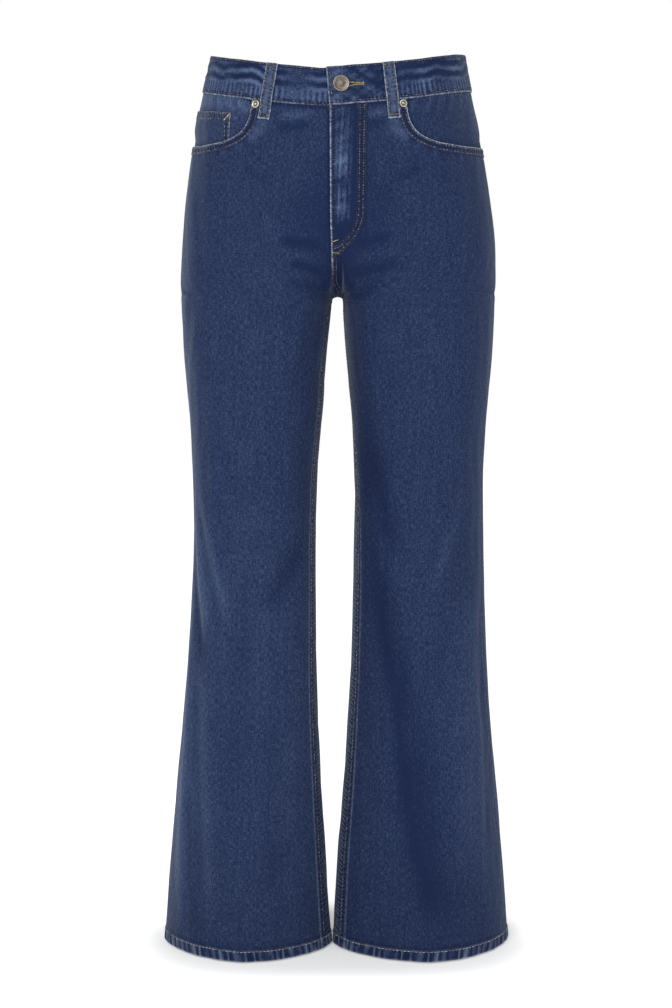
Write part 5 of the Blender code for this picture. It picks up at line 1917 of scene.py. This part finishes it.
@dataclass
class BeltLoop:
    """A loop over the waistband: a folded strip, tacked at its top and its foot."""

    garment: Garment
    word: str
    half: Half
    s_top: float
    s_foot: float
    half_width: float = 6.2
    thickness: float = 1.4
    top: float = 0.6
    foot: float = 63.5
    on_band: float = 2.4
    flat: Pair = (0.0124, 0.066)

    def middle(self, level: Array) -> Array:
        """s of the loop's middle line."""
        share = (level - self.top) / (self.foot - self.top)
        return self.s_top + (self.s_foot - self.s_top) * share

    def base(self, level: Array) -> Array:
        """The inner face's height: on the band, then down to the panel below it."""
        down = ramp(BAND, BAND + 10, level)
        return self.on_band + (SEAM_GAP - self.on_band) * down

    def lift(self, x: Array, level: Array) -> Array:
        """The outer face's height: slightly crowned, thicker where it is turned under."""
        crown = 0.3 * (1 - (x / self.half_width) ** 2) - 0.28 * bell(np.abs(x) - 4.0, 0.8)
        foot = 0.35 * bell(level - self.foot + 1, 2.4)
        return self.base(level) + self.thickness + crown + foot

    def build(self) -> None:
        """Builds the loop."""
        level = np.linspace(self.top, self.foot, 66)[:, None]
        x = self.half_width * np.sin(np.linspace(-1, 1, 15) * math.pi / 2)[None, :]
        mm = self.garment.form.s_per_mm(self.half, self.s_top, level)
        s = self.middle(level) + x * mm
        x, level = np.broadcast_arrays(x, level)
        edge = self.half_width - np.abs(x)
        worn = 0.15 + 0.54 * bell(edge, 0.9) + 0.8 * bell(self.foot - level, 1)
        worn += 0.2 * bell(level - self.top, 1.2)
        tone = 2.4 - 5.5 * bell(np.abs(x) - 4.0, 0.9) - 7.0 * bell(self.foot - 3.8 - level, 1.7)
        tone += 1.2 * wander(level, 17, 0.4)
        seam = strongest((level, x, 0.7 * bell(np.abs(x) - 4.0, 2.2)))
        patch = ClothPatch(
            "belt_loop_" + self.word, self.half, s, level, self.lift(x, level), self.base(level),
            x, level, worn, tone, seam, rim_bulge=0.3,
        )
        self.garment.sheet(patch, flat=self.flat, held="folded", rests_on=["waistband"])

    def stitch(self, thread: Thread) -> None:
        """Adds a row down each side and a tack at each end."""
        level = np.linspace(self.top + 1.5, self.foot - 4.5, 70)
        mm = self.garment.form.s_per_mm(self.half, self.s_top, level)
        for x in (-4.0, 4.0):
            s = self.middle(level) + x * mm
            thread.row(self.half, s, level, self.lift(np.full_like(level, x), level), 2.4)
        for depth, rise in ((self.foot - 4.0, 0.3), (self.top + 3.0, 0.2)):
            mm_here = float(self.garment.form.s_per_mm(self.half, self.s_top, depth))
            s = float(self.middle(np.array(depth)))
            ends = ((s - 5.0 * mm_here, depth), (s + 5.0 * mm_here, depth))
            lift = float(self.base(np.array(depth))) + self.thickness + rise
            thread.bar(self.half, ends, lift, 2.0, 0.8)


@dataclass
class BackPocket:
    """A five-sided patch pocket on a back, with its point down and a hemmed top edge."""

    garment: Garment
    half: Half
    panel: BackPanel
    s: float = 0.765
    top: float = 122.0
    side_height: float = 128.0
    point: float = 22.0
    half_widths: Pair = (72.0, 60.0)
    slope: float = 0.13
    drift: float = 0.014
    hem: float = 14.0
    flat: Pair = (0.144, 0.16)
    area: float = 0.019

    def place(self, across: Array, down: Array) -> tuple[Array, Array]:
        """s and level at shares across (-1 to 1) and down (0 to 1) the pocket."""
        x = across * (self.half_widths[0] + (self.half_widths[1] - self.half_widths[0]) * down)
        length = self.side_height + self.point * (1 - np.abs(across))
        level = self.top + self.slope * x + length * down
        return self.s - self.drift * down + x * self.garment.form.s_per_mm(self.half, self.s, level), level

    def lift(self, across: Array, down: Array) -> Array:
        """The outer face's height: doubled at the hem and rolled at the other edges."""
        hem = falling(self.hem - 1, self.hem + 1, down * self.side_height)
        edge = (1 - np.abs(across)) * self.half_widths[1]
        s, level = self.place(across, down)
        under = np.clip(self.panel.lift(s, level), 0, None)
        belly = 1.6 * (1 - across**2) * np.sin(math.pi * np.clip(down, 0, 1)) ** 2
        return under + 1.5 + 0.5 * hem + belly - 0.25 * bell(edge - 4.6, 1.8)

    def build(self) -> None:
        """Builds the patch."""
        across, down = np.meshgrid(spread(85, 0.4) * 2 - 1, spread(74, 0.4))
        s, level = self.place(across, down)
        lift = self.lift(across, down)
        x = across * self.half_widths[0]
        y = down * (self.side_height + self.point * (1 - np.abs(across)))
        side = (1 - np.abs(across)) * (self.half_widths[0] - 12 * down)
        foot = (1 - down) * (self.side_height + self.point * (1 - np.abs(across)))
        worn = 0.6 * bell(y, 1.4) + 0.5 * bell(np.minimum(side, foot), 1.3) + 0.15 * bell(y - self.hem, 1.1)
        seam = strongest(
            (x, y, 0.7 * falling(10, 14, y)),
            (y, side, 0.8 * falling(7, 10, side)),
            (x, foot, 0.8 * falling(7, 10, foot)),
        )
        tone = 0.3 * (1 - across**2) * np.sin(math.pi * down)
        patch = ClothPatch(
            "back_pocket_" + self.half.word, self.half, s, level, lift,
            np.maximum(lift - 2.6, 0.12 + lift * 0), x, y, worn, tone, seam,
        )
        self.garment.sheet(
            patch, flat=self.flat, held="laid", rests_on=["back_" + self.half.word], area=self.area
        )

    def stitch(self, thread: Thread) -> None:
        """Adds two rows down and round the edges, one under the hem, and the corners' tacks."""
        for inset in (1.8, 7.6):
            wide = 1 - inset / self.half_widths[0]
            deep = 1 - inset / (self.side_height + self.point)
            side, foot = np.linspace(0.012, deep, 90), np.linspace(-wide, wide, 120)
            across = np.concatenate([np.full(90, -wide), foot, np.full(90, wide)])
            down = np.concatenate([side, np.full(120, deep), side[::-1]])
            thread.row(self.half, *self.place(across, down), self.lift(across, down))
        across = np.linspace(-0.96, 0.96, 120)
        for depth in (1.8, self.hem - 1.4):
            down = np.full_like(across, depth / self.side_height)
            thread.row(self.half, *self.place(across, down), self.lift(across, down))
        for sign in (-1, 1):
            corner = [self.place(np.array(sign * 0.955), np.array(d)) for d in (0.008, 0.085)]
            ends = tuple((float(s), float(level)) for s, level in corner)
            thread.bar(self.half, ends, 2.3, 2.0, 0.8)


# ---- Metal ----


@dataclass
class Turned:
    """A turned metal piece: a profile carried round an axis that stands on the cloth.

    profile holds (radius, height, rubbed) rows from the middle of the top over the rim to the
    middle of the base, in millimetres; rubbed is 1 where the plating is bright.
    """

    garment: Garment
    name: str
    place: tuple[Half, float, float]
    lift: float
    profile: tuple[tuple[float, float, float], ...]
    material: Material
    sides: int = 64
    fineness: int = 5

    def build(self) -> None:
        """Builds the piece: rings of the smoothed profile, closed by its two poles."""
        rows = np.array(self.profile)
        knots = np.arange(len(rows))
        at = np.linspace(0, len(rows) - 1, (len(rows) - 1) * self.fineness + 1)
        radius, height, rubbed = (np.interp(at, knots, rows[:, i]) for i in range(3))
        kernel = np.array([0.25, 0.5, 0.25])
        for values in (radius, height):
            for _ in range(3):
                values[1:-1] = np.convolve(values, kernel, "valid")
        turn = np.arange(self.sides) * 2 * math.pi / self.sides
        x = radius[1:-1, None] * np.cos(turn)
        y = radius[1:-1, None] * np.sin(turn)
        z = np.broadcast_to(height[1:-1, None], x.shape)
        body = np.stack([x, y, z], axis=-1).reshape(-1, 3)
        points = np.concatenate([body, [[0, 0, height[0]], [0, 0, height[-1]]]]) * MM
        half, s, level = self.place
        form = self.garment.form
        base = form.place(half, np.array([s]), np.array([level]), self.lift)[0]
        tip = form.place(half, np.array([s]), np.array([level]), self.lift + 10.0)[0]
        turn_to = Vector(tip - base).to_track_quat("Z", "Y").to_matrix()
        points = points @ np.array(turn_to).T + base
        ring = np.arange(len(body)).reshape(-1, self.sides)
        first, last = ring[0], ring[-1]
        top, foot = np.full(self.sides, len(body)), np.full(self.sides, len(body) + 1)
        caps = [np.stack([top, np.roll(first, -1), first]), np.stack([foot, last, np.roll(last, -1)])]
        faces = [tube_faces(ring), np.concatenate(caps, axis=1).T]
        worn = np.concatenate([np.repeat(rubbed[1:-1], self.sides), rubbed[[0, -1]]])
        obj = filled_mesh(self.name, points, faces, {"worn": worn})
        obj.data.materials.append(self.material)
        adopt(obj, Slot.METAL, self.name)


@dataclass
class Hardware:
    """The waistband's shank button with its buttonhole, and the front pockets' rivets."""

    garment: Garment
    band: Waistband
    button_radius: float = 9.2
    rivet_radius: float = 4.7
    button_place: tuple[Half, float, float] = (Half.LEFT, 0.009, 20.3)
    rivet_places: tuple[tuple[Half, float, float], ...] = (
        (Half.RIGHT, 0.201, 47.5),
        (Half.LEFT, 0.159, 47.5),
    )
    hole_reach: Pair = (9.5, 27.0)

    def build(self) -> None:
        """Builds the button and both rivets."""
        r = self.button_radius
        cap = (
            (0.0, 3.3, 0.55), (r * 0.2, 3.32, 0.6), (r * 0.34, 3.22, 0.35), (r * 0.58, 3.2, 0.5),
            (r * 0.72, 3.32, 0.6), (r * 0.8, 3.72, 0.95), (r * 0.9, 3.86, 1.0),
            (r * 0.98, 3.55, 0.8), (r, 3.05, 0.35), (r * 0.95, 2.5, 0.1), (r * 0.8, 2.3, 0.0),
            (4.2, 2.2, 0.0), (4.0, 0.8, 0.0), (4.3, -0.6, 0.0), (0.0, -0.6, 0.0),
        )
        q = self.rivet_radius
        stud = (
            (0.0, 1.75, 1.0), (q * 0.2, 1.62, 0.9), (q * 0.36, 1.15, 0.3), (q * 0.46, 0.95, 0.05),
            (q * 0.6, 1.15, 0.5), (q * 0.76, 1.38, 0.95), (q * 0.9, 1.15, 0.9),
            (q, 0.55, 0.3), (q * 0.98, -0.3, 0.0), (0.0, -0.3, 0.0),
        )
        lift = self.band.lifts[1] + 0.9 + SEAM_GAP
        finishes = self.garment.finishes
        Turned(self.garment, "button", self.button_place, lift, cap, finishes.nickel).build()
        for place in self.rivet_places:
            name = "rivet_" + place[0].word
            Turned(self.garment, name, place, 0.75, stud, finishes.rivet, 40).build()

    def stitch(self, gold: Thread) -> None:
        """Adds the keyhole buttonhole: two satin edges that close to a point, and its tack."""
        form = self.garment.form
        mm = float(form.s_per_mm(Half.LEFT, 0.0, 20.0))
        start, end = self.hole_reach
        lift = self.band.lifts[1] + 0.75
        for sign in (-1, 1):
            ends = ((start * mm, 21.2 + 2.6 * sign), ((end - 7.5) * mm, 21.5 + 0.9 * sign))
            gold.bar(Half.LEFT, ends, lift, 1.5, 0.6)
            ends = (((end - 7.5) * mm, 21.5 + 0.9 * sign), (end * mm, 21.8 + 0.7 * sign))
            gold.bar(Half.LEFT, ends, lift, 1.3, 0.6)
        gold.bar(Half.LEFT, ((end * mm, 20.0), (end * mm, 23.8)), lift, 1.6, 0.6)


# ---- Studio ----


@dataclass
class Studio:
    """A plain pale floor, a white surround, soft lights and the camera."""

    camera_place: tuple[float, float, float] = (-0.0018, -1.8, -0.408)
    camera_fall: float = 3.79
    lens: float = 53.81
    floor_drop: float = 0.0015
    floor_size: float = 30.0

    def build(self, floor_finish: FloorFinish) -> None:
        """Sets everything up round the object."""
        self.add_floor(floor_finish.build())
        self.add_surround()
        self.add_light("key_light", (-0.9, -2.5, 1.3), (0.0, 0.0, -0.5), 1.4, 52.0)
        self.add_light("fill_light", (2.2, -1.8, 0.2), (0.0, 0.0, -0.5), 1.4, 14.0)
        self.add_camera()

    def add_floor(self, material: Material) -> None:
        """A level sheet just under the hems."""
        size, z = self.floor_size / 2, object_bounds()[0][2] - self.floor_drop
        corners = [(-size, -size, z), (size, -size, z), (size, size, z), (-size, size, z)]
        mesh = bpy.data.meshes.new("floor")
        mesh.from_pydata(corners, [], [(0, 1, 2, 3)])
        mesh.materials.append(material)
        shown("floor", mesh)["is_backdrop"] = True

    @staticmethod
    def add_surround() -> None:
        """A white world that lights the object less than it shows, as a far backdrop does."""
        world = bpy.data.worlds.new("surround")
        world.use_nodes = True
        tree = world.node_tree
        back, path = tree.nodes["Background"], tree.nodes.new("ShaderNodeLightPath")
        level = tree.nodes.new("ShaderNodeMapRange")
        level.inputs["To Min"].default_value, level.inputs["To Max"].default_value = 0.5, 1.0
        tree.links.new(path.outputs["Is Camera Ray"], level.inputs["Value"])
        back.inputs["Color"].default_value = (1.0, 1.0, 1.0, 1.0)
        tree.links.new(level.outputs["Result"], back.inputs["Strength"])
        bpy.context.scene.world = world

    @staticmethod
    def add_light(name: str, place: tuple, target: tuple, size: float, power: float) -> None:
        """A square soft light of a size in metres and a power in watts, facing its target."""
        light = bpy.data.lights.new(name, "AREA")
        light.size, light.energy = size, power
        turn = (Vector(target) - Vector(place)).to_track_quat("-Z", "Y").to_matrix().to_4x4()
        shown(name, light).matrix_world = Matrix.Translation(place) @ turn

    def add_camera(self) -> None:
        """The camera, before the front and a little above the middle, looking slightly down."""
        lens = bpy.data.cameras.new("camera")
        lens.lens, lens.sensor_width = self.lens, 36.0
        camera = shown("camera", lens)
        camera.location = self.camera_place
        camera.rotation_euler = (math.radians(90.0 - self.camera_fall), 0.0, 0.0)
        bpy.context.scene.camera = camera
        bpy.context.scene.view_settings.view_transform = "Standard"


BELT_LOOPS = (
    ("front_right", Half.RIGHT, 0.168, 0.176),
    ("front_left", Half.LEFT, 0.13, 0.134),
    ("back_right", Half.RIGHT, 0.69, 0.694),
    ("back_left", Half.LEFT, 0.69, 0.694),
    ("back_middle", Half.LEFT, 1.0, 1.0),
)
MOUTHS = {Half.RIGHT: (0.213, 105.5, 3.6, 0.0096), Half.LEFT: (0.168, 109.0, 2.4, 0.012)}


def build_jeans(garment: Garment) -> None:
    """Builds every sub-assembly in order, then each group of stitches."""
    form, hem, fly_curve = garment.form, HemShape(), FlyCurve()
    legs, scoops, tacks = Thread(form, seed=2), {}, Thread(form, 2.0, 0.4, 0.33, 9)
    fronts: dict[Half, FrontPanel] = {}
    for half in Half:
        start_s, foot, depth, area = MOUTHS[half]
        mouth = PocketMouth(garment, half, start_s, foot)
        front = fronts[half] = FrontPanel(garment, half, mouth, fly_curve, hem)
        front.build()
        scoops[half] = Thread(form, seed=3 + half, tones=(0.05, 0.85))
        front.stitch(scoops[half])
        pocket = FrontPocket(garment, mouth, depth, area=area)
        pocket.build()
        if half is Half.RIGHT:
            coin = CoinPocket(garment, pocket)
            coin.build()
            coin.stitch(scoops[half], tacks)
        back = BackPanel(garment, half, hem)
        back.build()
        seat = Thread(form, seed=7 + half)
        back.stitch(seat)
        patch = BackPocket(garment, half, back)
        patch.build()
        patch.stitch(seat)
        garment.sewn(seat, "stitching_back_" + half.word)
        turn_up = Hem(garment, half, hem)
        turn_up.build()
        turn_up.stitch(legs)
    fly = Fly(garment, fronts[Half.LEFT], fly_curve)
    fly.build()
    fly.stitch(scoops[Half.LEFT], tacks)
    band = Waistband(garment)
    band.build()
    waist = Thread(form, seed=11, tones=(0.0, 0.7))
    band.stitch(waist)
    for row in BELT_LOOPS:
        loop = BeltLoop(garment, *row)
        loop.build()
        loop.stitch(waist)
    hardware = Hardware(garment, band)
    hardware.build()
    hardware.stitch(tacks)
    for half in Half:
        garment.sewn(scoops[half], "stitching_front_" + half.word)
    garment.sewn(legs, "stitching_hems", garment.finishes.pale_thread)
    garment.sewn(waist, "stitching_waistband")
    garment.sewn(tacks, "tacks_and_buttonhole", garment.finishes.gold_thread)


def main() -> None:
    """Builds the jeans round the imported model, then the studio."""
    logging.basicConfig(level=logging.INFO, format="%(message)s")
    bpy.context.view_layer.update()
    build_jeans(Garment(Form(), Finishes()))
    Studio().build(FloorFinish())


if __name__ == "__main__":
    main()
